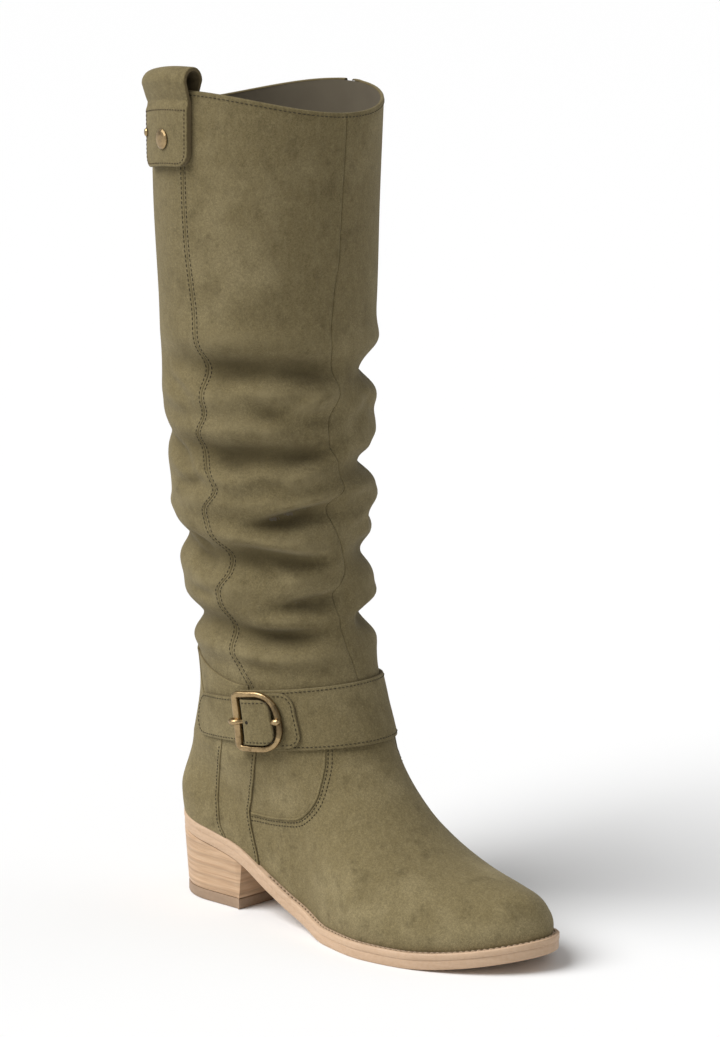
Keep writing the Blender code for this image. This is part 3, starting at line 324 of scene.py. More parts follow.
footprint = np.zeros(3)
ringTurns = np.linspace(0.0, 1.0, 361)
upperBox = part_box("upper")
sampled = upperPoint(ringTurns[None, :], np.linspace(0.0, 2.0, 200)[:, None]).reshape(-1, 3)
for axis in range(2):
    footprint[axis] = (upperBox[0][axis] + upperBox[1][axis] - sampled[:, axis].max() - sampled[:, axis].min()) / 2
print("place of the last's back in the frame:", footprint)


def gridFaces(rows, columns, turned=False):
    i, j = np.meshgrid(np.arange(rows - 1), np.arange(columns - 1), indexing="ij")
    a = (i * columns + j).ravel()
    quads = np.stack([a, a + 1, a + columns + 1, a + columns], 1)
    return quads[:, ::-1] if turned else quads


def newObject(name, data):
    item = bpy.data.objects.new(name, data)
    bpy.context.scene.collection.objects.link(item)
    return item


def boardPiece(name, mesh, sharp):  # smooth faces between sharp edges, on the boot's body
    mesh.shade_smooth()
    mesh.set_sharp_from_angle(angle=math.radians(sharp))
    piece = newObject(name, mesh)
    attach(piece, "boot")
    return piece


def finishPiece(name, points, faces, material, sharp=38.0, fields=None):
    mesh = bpy.data.meshes.new(name)
    mesh.from_pydata(np.asarray(points).tolist(), [], [tuple(face) for face in np.asarray(faces, dtype=object)])
    mesh.validate()
    for fieldName, values in (fields or {}).items():
        layer = mesh.attributes.new(fieldName, "FLOAT", "POINT")
        layer.data.foreach_set("value", np.asarray(values, np.float32).ravel())
    mesh.materials.append(material)
    return boardPiece(name, mesh, sharp)


def edgeDrop(distance, radius):  # how far a rounded edge lies under the face, by the distance from the edge
    near = np.clip(radius - distance, 0.0, radius)
    return radius - np.sqrt(np.maximum(radius * radius - near * near, 0.0))


def edgedShares(length, count, radius):  # shares of a length, close together at both rounded ends
    near = radius * np.array([0.0, 0.12, 0.38, 0.75]) / length
    middle = np.linspace(1.1 * radius / length, 1 - 1.1 * radius / length, count)
    return np.concatenate([near, middle, 1 - near[::-1]])


def runLengths(points, axis):  # distance of every grid point to the first and the last of its line
    steps = np.linalg.norm(np.diff(points, axis=axis), axis=-1)
    start = np.concatenate([np.zeros_like(np.take(steps, [0], axis)), np.cumsum(steps, axis)], axis)
    end = np.take(start, [-1], axis) - start
    return start, end


def closedFaces(rows, columns):  # an outer grid, an inner grid and the wall between their rims
    faces = [gridFaces(rows, columns), gridFaces(rows, columns, True) + rows * columns]
    index = np.arange(rows * columns).reshape(rows, columns)
    rim = np.concatenate([index[0, :], index[1:, -1], index[-1, -2::-1], index[-2:0:-1, 0]])
    following = np.roll(rim, -1)
    wall = np.stack([following, rim, rim + rows * columns, following + rows * columns], 1)
    return np.concatenate([*faces, wall])


def shellPiece(name, turn, row, low, high, material, radius=0.0006, keep=(1, 1, 1, 1)):
    # a thin body on the suede's face; keep names the rounded edges: bottom, top, first column, last column
    low, high = np.broadcast_to(low, turn.shape), np.broadcast_to(high, turn.shape)
    flat = skinPoint(turn, row, high)
    drop = np.zeros(turn.shape)
    for used, distance in zip(keep, (*runLengths(flat, 0), *runLengths(flat, 1))):
        if used:
            drop = np.maximum(drop, edgeDrop(distance, radius))
    points = np.concatenate([skinPoint(turn, row, lift).reshape(-1, 3) for lift in (high - drop, low)])
    cut = np.concatenate([np.clip(drop / radius, 0, 1).ravel(), np.ones(turn.size)])
    relief = np.tile(reliefAt(turn, row).ravel(), 2)
    return finishPiece(name, points, closedFaces(*turn.shape), material,
                       fields={"cutEdge": cut, "relief": relief})


def reliefAt(turn, row):  # how far the folds stand out (+) or in (-) here, in centimetres
    height = heightAt(turn, np.maximum(row, 1.0))
    angle = (turn % 1.0) * 360.0 - 180.0
    calm = easeAt(boot["strapHeight"] + 0.5 * boot["strapWidth"], boot["strapHeight"] + boot["strapWidth"], height)
    return (foldPush(angle, height) + creasePush(angle, height)) * calm * 100


def linePlaces(side, marks, count=90):  # turns and rows of a line through side-view marks (x, z) in millimetres
    marks = np.array(marks, float)
    run = runAlong(marks)
    at = np.linspace(0.0, run[-1], count)
    x = splineAt(run, marks[:, 0], at) / 1000
    z = splineAt(run, marks[:, 1], at) / 1000
    turns = np.linspace(0.06, 0.46, 81) if side == "outer" else np.linspace(0.54, 0.94, 81)
    climb = np.linspace(0.02, 1.25, 83)
    gridTurn, gridRow = np.meshgrid(turns, climb)
    grid = upperPoint(gridTurn, gridRow)
    found = []
    for px, pz in zip(x, z):
        gap = (grid[..., 0] - px) ** 2 + (grid[..., 2] - pz) ** 2
        found.append(np.unravel_index(np.argmin(gap), gap.shape))
    turn = np.array([gridTurn[k] for k in found])
    row = np.array([gridRow[k] for k in found])
    for _ in range(12):
        here = upperPoint(turn, row)
        step = 1e-3
        byTurn = (upperPoint(turn + step, row) - here)[:, [0, 2]] / step
        byRow = (upperPoint(turn, row + step) - here)[:, [0, 2]] / step
        miss = np.stack([x, z], 1) - here[:, [0, 2]]
        size = byTurn[:, 0] * byRow[:, 1] - byTurn[:, 1] * byRow[:, 0]
        size = np.where(np.abs(size) < 1e-6, 1e-6, size)
        turnMove = (miss[:, 0] * byRow[:, 1] - miss[:, 1] * byRow[:, 0]) / size
        rowMove = (byTurn[:, 0] * miss[:, 1] - byTurn[:, 1] * miss[:, 0]) / size
        turn = turn + np.clip(turnMove, -0.02, 0.02)
        row = np.clip(row + np.clip(rowMove, -0.05, 0.05), 0.0, 1.5)
    return evened(turn), evened(row)


def evened(values):
    padded = np.concatenate([values[:1], values, values[-1:]])
    return (padded[:-2] + 2 * padded[1:-1] + padded[2:]) / 4


def splineAt(place, value, at):  # a smooth curve through a few marks
    place, value = np.asarray(place, float), np.asarray(value, float)
    tangent = np.gradient(value, place)
    k = np.clip(np.searchsorted(place, at, side="right") - 1, 0, len(place) - 2)
    step = place[k + 1] - place[k]
    t = (at - place[k]) / step
    blend = value[k] * (1 + 2 * t) * (1 - t) ** 2 + value[k + 1] * t * t * (3 - 2 * t)
    return blend + step * (tangent[k] * t * (1 - t) ** 2 + tangent[k + 1] * t * t * (t - 1))


def besideLine(turn, row, distance):  # the same line moved sideways on the surface, + to its right going forward
    here = upperPoint(turn, row)
    along = unit(np.gradient(here, axis=0))
    side = np.cross(along, outwardAt(turn, row))
    step = 1e-3
    byTurn = (upperPoint(turn + step, row) - here) / step
    byRow = (upperPoint(turn, row + step) - here) / step
    a, b, c = (byTurn * byTurn).sum(-1), (byTurn * byRow).sum(-1), (byRow * byRow).sum(-1)
    p, q = (byTurn * side).sum(-1) * distance, (byRow * side).sum(-1) * distance
    size = a * c - b * b
    return turn + (p * c - q * b) / size, row + (a * q - b * p) / size


def tubePoints(centres, rights, ups, halfWidth, halfDepth, sides, power=2.0):
    around = 2 * math.pi * (np.arange(sides) + 0.5) / sides
    c, s = (np.sign(wave) * np.abs(wave) ** (2 / power) for wave in (np.cos(around), np.sin(around)))
    halfWidth = np.broadcast_to(halfWidth, len(centres))[:, None, None]
    halfDepth = np.broadcast_to(halfDepth, len(centres))[:, None, None]
    flat = rights[:, None] * (halfWidth * c[None, :, None])
    return centres[:, None] + flat + ups[:, None] * (halfDepth * s[None, :, None])


def tubePiece(name, centres, ups, halfWidth, halfDepth, material, closed=False, sides=10, power=2.0):
    along = unit(np.roll(centres, -1, 0) - np.roll(centres, 1, 0)) if closed else unit(np.gradient(centres, axis=0))
    rights = unit(np.cross(along, ups))
    ups = np.cross(rights, along)
    rings = tubePoints(centres, rights, ups, halfWidth, halfDepth, sides, power)
    count = len(centres)
    faces = []
    for i in range(count if closed else count - 1):
        for k in range(sides):
            a, b = i * sides + k, i * sides + (k + 1) % sides
            c, d = (i + 1) % count * sides + (k + 1) % sides, (i + 1) % count * sides + k
            faces.append((d, c, b, a))
    if not closed:
        faces.append(tuple(range(sides)))
        faces.append(tuple(range((count - 1) * sides, count * sides))[::-1])
    return finishPiece(name, rings.reshape(-1, 3), faces, material, 60.0)


def plug(tree, socket, value):  # links a socket, or sets a plain value
    if isinstance(value, bpy.types.NodeSocket):
        tree.links.new(value, socket)
    else:
        socket.default_value = value


def newNode(tree, kind, inputs=None, **settings):
    node = tree.nodes.new(kind)
    for key, value in settings.items():
        setattr(node, key, value)
    for key, value in (inputs or {}).items():
        plug(tree, node.inputs[key], value)
    return node


def newGroup(name, ins, outs):
    group = bpy.data.node_groups.new(name, "ShaderNodeTree")
    for label, kind, value in ins:
        socket = group.interface.new_socket(label, in_out="INPUT", socket_type="NodeSocket" + kind)
        if value is not None:
            socket.default_value = value
    for label, kind in outs:
        group.interface.new_socket(label, in_out="OUTPUT", socket_type="NodeSocket" + kind)
    return group, group.nodes.new("NodeGroupInput").outputs, group.nodes.new("NodeGroupOutput").inputs


def mixColour(tree, factor, first, second):
    return newNode(tree, "ShaderNodeMix", {0: factor, 6: first, 7: second}, data_type="RGBA").outputs[2]


def times(tree, first, second, clamp=False):
    return newNode(tree, "ShaderNodeMath", {0: first, 1: second}, operation="MULTIPLY", use_clamp=clamp).outputs[0]


def plus(tree, first, second):
    return newNode(tree, "ShaderNodeMath", {0: first, 1: second}, operation="ADD").outputs[0]


def rangeNode(tree, value, low, high, first=0.0, last=1.0):
    inputs = {0: value, 1: low, 2: high, 3: first, 4: last}
    return newNode(tree, "ShaderNodeMapRange", inputs, clamp=True).outputs[0]


def noiseNode(tree, vector, scale, detail=2.0, rough=0.5, stretch=None):
    if stretch:
        vector = newNode(tree, "ShaderNodeMapping", {"Vector": vector, "Scale": stretch}).outputs[0]
    inputs = {"Vector": vector, "Scale": scale, "Detail": detail, "Roughness": rough}
    return newNode(tree, "ShaderNodeTexNoise", inputs).outputs["Fac"]


def waveNode(tree, vector, scale, distortion, way="Z", **more):
    inputs = {"Vector": vector, "Scale": scale, "Distortion": distortion, **more}
    return newNode(tree, "ShaderNodeTexWave", inputs, bands_direction=way).outputs["Fac"]


def makeNapGroup():  # short raised nap: cloudy patches, brushed streaks and fine grain
    group, ins, outs = newGroup(
        "suedeNap",
        [("Place", "Vector", None), ("Base", "Color", (0.2, 0.2, 0.1, 1)), ("Brushed", "Color", (0.3, 0.3, 0.2, 1)),
         ("Deep", "Color", (0.1, 0.1, 0.05, 1)), ("Patches", "Float", 1.0), ("Grain", "Float", 1.0)],
        [("Colour", "Color"), ("Roughness", "Float"), ("Height", "Float")])
    place, patches, coarse = ins["Place"], ins["Patches"], ins["Grain"]
    cloud = noiseNode(group, place, 26.0, 3.0, 0.55)
    patch = noiseNode(group, place, 95.0, 4.0, 0.62)
    streak = noiseNode(group, place, 330.0, 3.0, 0.6, (1.0, 1.0, 0.45))
    grain = noiseNode(group, place, 2300.0, 2.0, 0.6)
    tuft = noiseNode(group, place, 900.0, 3.0, 0.65)
    share = times(group, rangeNode(group, cloud, 0.50, 0.72), patches)
    colour = mixColour(group, share, ins["Base"], ins["Brushed"])
    dark = times(group, times(group, rangeNode(group, patch, 0.53, 0.72), patches), 0.55)
    colour = mixColour(group, dark, colour, ins["Deep"])
    colour = mixColour(group, times(group, rangeNode(group, streak, 0.42, 0.70), 0.35), colour, ins["Brushed"])
    fleck = times(group, rangeNode(group, tuft, 0.40, 0.66, -0.5, 0.5), coarse)
    speck = times(group, rangeNode(group, grain, 0.35, 0.65, -0.5, 0.5), coarse)
    shade = plus(group, plus(group, times(group, fleck, 0.30), times(group, speck, 0.34)), 1.0)
    shaded = newNode(group, "ShaderNodeVectorMath", {0: colour}, operation="SCALE")
    plug(group, shaded.inputs["Scale"], shade)
    plug(group, outs["Colour"], shaded.outputs[0])
    plug(group, outs["Roughness"], rangeNode(group, tuft, 0.3, 0.7, 0.86, 1.0))
    plug(group, outs["Height"], plus(group, times(group, tuft, 0.6), times(group, grain, 0.4)))
    return group


def makeWearAndHighlightGroup():  # a lighter colour where a mask says so, broken up by noise: real dust on the sole, real rubbing on the brass, painted highlight on the suede's fold ridges
    group, ins, outs = newGroup(
        "rubbed",
        [("Place", "Vector", None), ("Colour", "Color", (0.5, 0.5, 0.5, 1)), ("Rubbed", "Color", (0.6, 0.6, 0.6, 1)),
         ("Mask", "Float", 0.0), ("Scale", "Float", 300.0)],
        [("Colour", "Color"), ("Mask", "Float")])
    broken = rangeNode(group, noiseNode(group, ins["Place"], ins["Scale"], 3.0), 0.30, 0.62)
    mask = times(group, ins["Mask"], broken, True)
    plug(group, outs["Colour"], mixColour(group, mask, ins["Colour"], ins["Rubbed"]))
    plug(group, outs["Mask"], mask)
    return group


def newMaterial(name, roughness, specular=0.5, metallic=0.0):
    material = bpy.data.materials.new(name)
    material.use_nodes = True
    tree = material.node_tree
    shader = tree.nodes["Principled BSDF"].inputs
    for key, value in (("Roughness", roughness), ("Specular IOR Level", specular), ("Metallic", metallic)):
        shader[key].default_value = value
    return material, tree, shader, tree.nodes.new("ShaderNodeTexCoord").outputs["Object"]


def dress(tree, shader, colour, height, depth, roughness=None):  # into the shader: colour, relief and roughness
    plug(tree, shader["Base Color"], colour)
    if roughness is not None:
        plug(tree, shader["Roughness"], roughness)
    plug(tree, shader["Normal"], newNode(tree, "ShaderNodeBump", {"Height": height, "Distance": depth}).outputs[0])


def groupNode(tree, group, **inputs):
    return newNode(tree, "ShaderNodeGroup", inputs, node_tree=group).outputs


# painted light in the suede: the fold ridges are lightened towards the brushed colour as a painted highlight, and
# the fold troughs are darkened towards the deep colour as painted shade
suedeLook = {
    "base": (0.172, 0.136, 0.065), "brushedAndHighlight": (0.240, 0.195, 0.102), "deep": (0.092, 0.071, 0.032),
    "cut": (0.125, 0.094, 0.048), "napDepth": 0.00035, "foldShade": 0.65, "ridgeHighlight": 0.55, "cutShade": 0.75,
    "sheen": 0.12, "sheenRoughness": 0.45, "sheenTint": (0.80, 0.74, 0.58, 1), "specular": 0.18,
}


def tinted(colour, tone=1.0):
    return tuple(c * tone for c in colour[:3]) + (1,)


def makeSuede(name, patches=1.0, tone=1.0):
    material, tree, shader, place = newMaterial(name, 0.95, suedeLook["specular"])
    shader["Sheen Weight"].default_value = suedeLook["sheen"]
    shader["Sheen Roughness"].default_value = suedeLook["sheenRoughness"]
    shader["Sheen Tint"].default_value = suedeLook["sheenTint"]
    base, brushedAndHighlight, deep, cutTone = (tinted(suedeLook[key], tone) for key in ("base", "brushedAndHighlight", "deep", "cut"))
    nap = groupNode(tree, napGroup, Place=place, Base=base, Brushed=brushedAndHighlight, Deep=deep, Patches=patches, Grain=1.0)
    relief = newNode(tree, "ShaderNodeAttribute", attribute_name="relief").outputs["Fac"]
    cut = newNode(tree, "ShaderNodeAttribute", attribute_name="cutEdge").outputs["Fac"]
    # painted highlight on the fold ridges and painted shade in the fold troughs, both driven by the relief attribute
    ridgeHighlightMask = times(tree, rangeNode(tree, relief, 0.02, 0.32), suedeLook["ridgeHighlight"])
    trough = times(tree, rangeNode(tree, relief, -0.08, -0.75), suedeLook["foldShade"])
    maskedMix = groupNode(tree, wearAndHighlightGroup, Place=place, Colour=nap["Colour"], Rubbed=brushedAndHighlight, Mask=ridgeHighlightMask, Scale=160.0)
    colour = mixColour(tree, trough, maskedMix["Colour"], deep)
    colour = mixColour(tree, times(tree, rangeNode(tree, cut, 0.55, 1.0), suedeLook["cutShade"]), colour, cutTone)
    dress(tree, shader, colour, nap["Height"], suedeLook["napDepth"], nap["Roughness"])
    return material


liningLook = {
    "dark": (0.128, 0.104, 0.068, 1), "light": (0.172, 0.143, 0.096, 1), "weave": (0.105, 0.088, 0.059, 1),
}


def makeLining():
    material, tree, shader, place = newMaterial("liningCloth", 0.9)
    weave = waveNode(tree, place, 1500.0, 2.5, Detail=2.0)
    colour = mixColour(tree, noiseNode(tree, place, 60.0, 3.0), liningLook["dark"], liningLook["light"])
    colour = mixColour(tree, times(tree, weave, 0.12), colour, liningLook["weave"])
    dress(tree, shader, colour, weave, 0.00008)
    return material


def makeThread(name, colour):
    material, tree, shader, place = newMaterial(name, 0.75, 0.3)
    twist = waveNode(tree, place, 1400.0, 2.0, "DIAGONAL")
    dress(tree, shader, mixColour(tree, twist, tinted(colour, 0.6), tinted(colour)), twist, 0.0001)
    return material


soleLook = {"patch": (0.46, 0.31, 0.20, 1), "dust": (0.62, 0.47, 0.34, 1), "grain": (1.0, 1.0, 14.0)}


def makeTanSole(name, base, streakTone, dust=0.25):
    material, tree, shader, place = newMaterial(name, 0.55, 0.35)
    streak = noiseNode(tree, place, 40.0, 4.0, 0.6, soleLook["grain"])
    patch = noiseNode(tree, place, 30.0, 3.0)
    speck = noiseNode(tree, place, 1300.0, 2.0)
    colour = mixColour(tree, rangeNode(tree, streak, 0.35, 0.7), tinted(base), tinted(streakTone))
    colour = mixColour(tree, times(tree, rangeNode(tree, patch, 0.5, 0.7), 0.3), colour, soleLook["patch"])
    maskedMix = groupNode(tree, wearAndHighlightGroup, Place=place, Colour=colour, Rubbed=soleLook["dust"], Mask=dust, Scale=500.0)
    height = plus(tree, speck, times(tree, streak, 1.5))
    dress(tree, shader, maskedMix["Colour"], height, 0.00012, rangeNode(tree, speck, 0.3, 0.7, 0.48, 0.66))
    return material


woodLook = {
    "light": (0.58, 0.395, 0.245, 1), "dark": (0.42, 0.265, 0.155, 1), "seam": (0.27, 0.175, 0.105, 1),
    "bleached": (0.66, 0.52, 0.38, 1), "layers": 52.0,
}


def makeStackedWood():
    material, tree, shader, place = newMaterial("stackedWood", 0.55, 0.35)
    bands = waveNode(tree, place, woodLook["layers"], 0.55, **{"Detail": 2.0, "Detail Scale": 0.6})
    fibre = noiseNode(tree, place, 26.0, 5.0, 0.65, (1.0, 1.0, 26.0))
    fine = noiseNode(tree, place, 90.0, 4.0, 0.6, (1.0, 1.0, 18.0))
    colour = mixColour(tree, rangeNode(tree, fibre, 0.32, 0.68), woodLook["light"], woodLook["dark"])
    colour = mixColour(tree, times(tree, rangeNode(tree, bands, 0.80, 0.98), 0.40), colour, woodLook["seam"])
    colour = mixColour(tree, times(tree, rangeNode(tree, fine, 0.5, 0.75), 0.35), colour, woodLook["bleached"])
    dress(tree, shader, colour, plus(tree, fibre, bands), 0.00018, rangeNode(tree, fibre, 0.3, 0.7, 0.45, 0.62))
    return material


brassLook = {"bright": (0.40, 0.285, 0.145), "dull": (0.170, 0.112, 0.055), "rubbed": (0.50, 0.36, 0.19)}


def makeBrass(name, tone=1.0):
    material, tree, shader, place = newMaterial(name, 0.36, metallic=1.0)
    bright, dull, rubbed = (tinted(brassLook[key], tone) for key in ("bright", "dull", "rubbed"))
    tarnish = noiseNode(tree, place, 170.0, 4.0, 0.65)
    scratch = noiseNode(tree, place, 900.0, 3.0, 0.6, (1.0, 1.0, 0.25))
    colour = mixColour(tree, rangeNode(tree, tarnish, 0.42, 0.66), bright, dull)
    maskedMix = groupNode(tree, wearAndHighlightGroup, Place=place, Colour=colour, Rubbed=rubbed, Mask=0.5, Scale=700.0)
    rough = rangeNode(tree, scratch, 0.3, 0.7, 0.28, 0.46)
    dress(tree, shader, maskedMix["Colour"], plus(tree, scratch, tarnish), 0.00010, rough)
    return material


def makeTape():
    material, tree, shader, place = newMaterial("zipTape", 0.85)
    rib = waveNode(tree, place, 900.0, 0.6)
    dress(tree, shader, mixColour(tree, rib, (0.030, 0.024, 0.015, 1), (0.075, 0.060, 0.038, 1)), rib, 0.0002)
    return material


napGroup = makeNapGroup()
wearAndHighlightGroup = makeWearAndHighlightGroup()
# one suede in three copies; the shaft's copy is darker overall than the vamp's, painted shade of the folded shaft
shaftSuede = makeSuede("oliveSuedeShaft", 0.9, 0.92)
vampSuede = makeSuede("oliveSuedeVamp", 1.15, 1.03)
trimSuede = makeSuede("oliveSuedeTrim", 0.9, 0.96)
liningCloth = makeLining()
darkThread = makeThread("oliveThread", (0.060, 0.046, 0.023))
tanThread = makeThread("tanThread", (0.085, 0.055, 0.026))
paleThread = makeThread("paleThread", (0.62, 0.46, 0.31))
# near-black finish for the tab's hole: painted shade
paintedHoleShade = makeThread("paintedHoleShade", (0.020, 0.015, 0.008))
# darker tan strip for the welt's stitch channel: painted shade of the groove
weltChannelShade = makeThread("weltChannelShade", (0.17, 0.105, 0.060))
weltTan = makeTanSole("weltTan", (0.56, 0.385, 0.250), (0.48, 0.325, 0.205))
outsoleTan = makeTanSole("outsoleTan", (0.54, 0.370, 0.240), (0.46, 0.310, 0.195))
liftTan = makeTanSole("liftTan", (0.30, 0.205, 0.135), (0.25, 0.17, 0.11), 0.08)
stackedWood = makeStackedWood()
antiqueBrass = makeBrass("antiqueBrass")
copperBrass = makeBrass("copperBrass", 0.9)
sleeveBrass = makeBrass("sleeveBrass", 0.55)
zipTapeCloth = makeTape()
toothBrass = makeBrass("toothBrass", 0.75)
print("materials made")

# the suede body: four shaft panels, the foot, the lining

panels = {
    "seamRadius": 0.00112, "zipHalf": 0.0031, "zipRise": 0.00135, "zipSeam": 0.0062, "zipShoulder": 0.0130,
    "zipLow": (0.19, 0.27), "zipOpen": (0.20, 0.26), "columnStep": 0.00125, "rowStep": 0.00125,
    "footRowStep": 0.0011, "footColumns": 430, "footEdge": 0.0015, "liningStep": 0.004, "rim": 0.0010,
}

# side seam and front seam of the shaft: height in mm, angle in degrees from the front
sideSeamRows = (
    (94, -84), (130, -79), (143, -85), (181, -87), (194, -79), (224, -90), (239, -80), (260, -91),
    (283, -82), (331, -87), (371, -91), (419, -92), (470, -92),
)
frontSeamRows = (
    (94, -2), (140, -3), (154, -7), (184, -11), (199, -1), (233, -13), (246, -2), (276, -12), (298, -4),
    (329, -11), (376, -6), (445, -4), (470, -4),
)


def seamTurn(rows, row):
    height = boot["ankleHeight"] + (np.maximum(row, 1.0) - 1) * (boot["shaftHeight"] - boot["ankleHeight"])
    return (columnAt(rows, 1, height * 1000) + 180) / 360


def zipTurn(row):
    return columnAt(zipRows, 1, row)


def zipGap(turn, row):  # signed distance from the zip's middle line
    return ((turn - zipTurn(row) + 0.5) % 1.0 - 0.5) * turnLength(zipTurn(row), row)


def zipLift(turn, row):  # the folded edges beside the zip stand above its tape
    away = np.abs(zipGap(turn, row))
    low = easeAt(*panels["zipLow"], row)
    return panels["zipRise"] * (1 - easeAt(panels["zipSeam"], panels["zipShoulder"], away)) * low


def climbRows(low, high, step):  # rows about one step apart up the front of the boot
    fine = np.linspace(low, high, 600)
    line = upperPoint(np.full(600, 0.3), fine)
    run = runAlong(line)
    return np.interp(np.linspace(0, run[-1], int(run[-1] / step) + 2), run, fine)


def panelTurns(rows, first, last, trimFirst, trimLast, edge):
    length = turnLength((first + last) / 2, rows) * (last - first)
    middle = float(np.mean(length))
    shares = edgedShares(middle, int(middle / panels["columnStep"]), edge)
    start = first + trimFirst / turnLength(first, rows)
    end = last - trimLast / turnLength(last, rows)
    return start[:, None] + (end - start)[:, None] * shares[None, :]


def rimRows(turn, row, lift):  # carries the last row over the collar's edge to the lining
    top = skinPoint(turn[-1], row[-1], lift[-1])
    out = outwardAt(turn[-1], row[-1])
    radius = panels["rim"]
    extra = []
    for k in range(1, 8):
        a = math.pi * k / 7
        ring = top - out * (radius * (1 - math.cos(a)))
        ring[:, 2] += radius * math.sin(a)
        extra.append(ring)
    extra = np.array(extra)
    extra[..., 2] -= radius
    return extra


def suedePanel(name, first, last, trimFirst, trimLast, roll):
    rows = climbRows(1.02, 2.0, panels["rowStep"])
    turn = panelTurns(rows, first(rows), last(rows), trimFirst, trimLast, panels["seamRadius"])
    row = np.repeat(rows[:, None], turn.shape[1], 1)
    lift = zipLift(turn, row)
    drop = np.zeros(turn.shape)
    for used, distance in zip(roll, runLengths(skinPoint(turn, row, lift), 1)):
        if used:
            drop = np.maximum(drop, used * edgeDrop(distance, panels["seamRadius"]))
    lift = lift - drop
    points = skinPoint(turn, row, lift)
    points[-1, :, 2] -= panels["rim"]
    above = rimRows(turn, row, lift)
    points = np.concatenate([points, above])
    relief = reliefAt(turn, row)
    relief = np.concatenate([relief, np.repeat(relief[-1:], len(above), 0)])
    cut = np.repeat(np.linspace(0, 1, len(above))[:, None], turn.shape[1], 1)
    cut = np.concatenate([np.zeros(turn.shape), cut])
    return finishPiece(name, points.reshape(-1, 3), gridFaces(*points.shape[:2]), shaftSuede,
                       fields={"relief": relief, "cutEdge": cut})


def makeShaft():
    side = lambda rows: seamTurn(sideSeamRows, rows)
    front = lambda rows: seamTurn(frontSeamRows, rows)
    zipHalf = panels["zipHalf"]
    outerFront = suedePanel("shaftOuterFront", side, front, 0.0, 0.0, (0.55, 0.65))
    suedePanel("shaftInnerFront", front, zipTurn, 0.0, zipHalf, (0.65, 1.0))
    suedePanel("shaftInnerBack", zipTurn, lambda rows: np.ones(len(rows)), zipHalf, 0.0, (1.0, 0.0))
    suedePanel("shaftOuterBack", lambda rows: np.zeros(len(rows)), side, 0.0, 0.0, (0.0, 0.55))
    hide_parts("upper")


def makeFoot():
    rows = climbRows(0.0, 1.06, panels["footRowStep"])
    last = zipTurn(rows)
    closing = panels["zipHalf"] * easeAt(*panels["zipOpen"], rows)
    start = last - 1 + closing / turnLength(last - 1, rows)
    end = last - closing / turnLength(last, rows)
    edge = panels["footEdge"]
    turn = start[:, None] + (end - start)[:, None] * edgedShares(0.50, panels["footColumns"], edge)[None, :]
    row = np.repeat(rows[:, None], turn.shape[1], 1)
    lift = zipLift(turn, row)
    fromStart, fromEnd = runLengths(skinPoint(turn, row, lift), 1)
    rolled = np.maximum(edgeDrop(fromStart, edge), edgeDrop(fromEnd, edge))
    points = skinPoint(turn, row, lift - easeAt(*panels["zipOpen"], row) * rolled - 0.0001)
    plain = np.zeros(turn.shape)
    finishPiece("vampAndQuarters", points.reshape(-1, 3), gridFaces(*turn.shape), vampSuede,
                fields={"relief": plain, "cutEdge": plain})


def makeLiningShell():
    rows = climbRows(0.0, 2.0, panels["liningStep"])
    turns = np.linspace(0.0, 1.0, 129)[:-1]
    turn, row = np.meshgrid(turns, rows)
    points = skinPoint(turn, row, -boot["wall"] + 0.0001)
    points[-1, :, 2] -= panels["rim"]
    count = len(turns)
    faces = gridFaces(len(rows), count, True)
    last = np.arange(len(rows) - 1) * count + count - 1
    wrap = np.stack([last + count, last + 1, last - count + 1, last], 1)
    finishPiece("shaftLining", points.reshape(-1, 3), np.concatenate([faces, wrap]), liningCloth)


makeShaft()
print("shaft made")
makeFoot()
makeLiningShell()
print("foot and lining made")

# overlays of the foot

trims = {
    "quarterLow": 0.0001, "quarterHigh": 0.00105, "innerHigh": 0.00063, "counterLow": 0.0003, "counterHigh": 0.0017,
    "topHeight": 0.1330, "topRise": 0.0090, "peak": 0.006, "radius": 0.0005, "backLap": 0.04,
}

# edge of the counter: row, turns from the back on the outer side, on the inner side
counterRows = (
    (0.00, 0.148, 0.152), (0.15, 0.1444, 0.150), (0.40, 0.1528, 0.160), (0.67, 0.1722, 0.180),
    (1.00, 0.208, 0.198), (1.02, 0.2102, 0.186), (1.045, 0.168, 0.158), (1.065, 0.134, 0.134),
    (1.08, 0.118, 0.118), (1.12, 0.100, 0.100), (1.20, 0.096, 0.096),
)

# front edge of the outer rear quarter: row, turn
quarterRows = (
    (0.00, 0.1855), (0.20, 0.1861), (0.32, 0.1889), (0.46, 0.1972), (0.70, 0.2278), (0.86, 0.2528),
    (1.00, 0.272), (1.03, 0.2755), (1.12, 0.2757),
)


def quarterTop(turn):
    back = np.minimum(turn % 1.0, 1 - turn % 1.0)
    slope = trims["topRise"] * easeAt(0.27, 0.10, back)
    return trims["topHeight"] + slope + trims["peak"] * easeAt(0.11, 0.0, back)


def sidePanel(name, firstTurn, lastTurn, low, high, keep, columns=70, topScale=1.0):
    ankle, top = 0.72, 1.11  # share of the panel's rows below the ankle, row of its top in front
    shares = edgedShares(0.11, 110, trims["radius"] * 2)
    guide = np.interp(shares, [0.0, ankle, 1.0], [0.0, 1.0, top])
    across = edgedShares(0.07, columns, trims["radius"] * 2)
    turn = np.array([firstTurn(r) + (lastTurn(r) - firstTurn(r)) * across for r in guide])
    topRow = rowAt(turn[-1], quarterTop(turn[-1]) * topScale)
    share = np.clip((guide - 1.0) / (top - 1.0), 0.0, 1.0)[:, None]
    row = np.minimum(guide, 1.0)[:, None] + (topRow - 1.0) * share
    return shellPiece(name, turn, row, low, high + zipLift(turn, row), vampSuede, trims["radius"], keep=keep)


def zipEdge(row):  # turn of the quarter's edge beside the zip
    turn = zipTurn(row)
    return float(turn - 1 + panels["zipHalf"] * float(easeAt(*panels["zipOpen"], row)) / turnLength(turn, row))


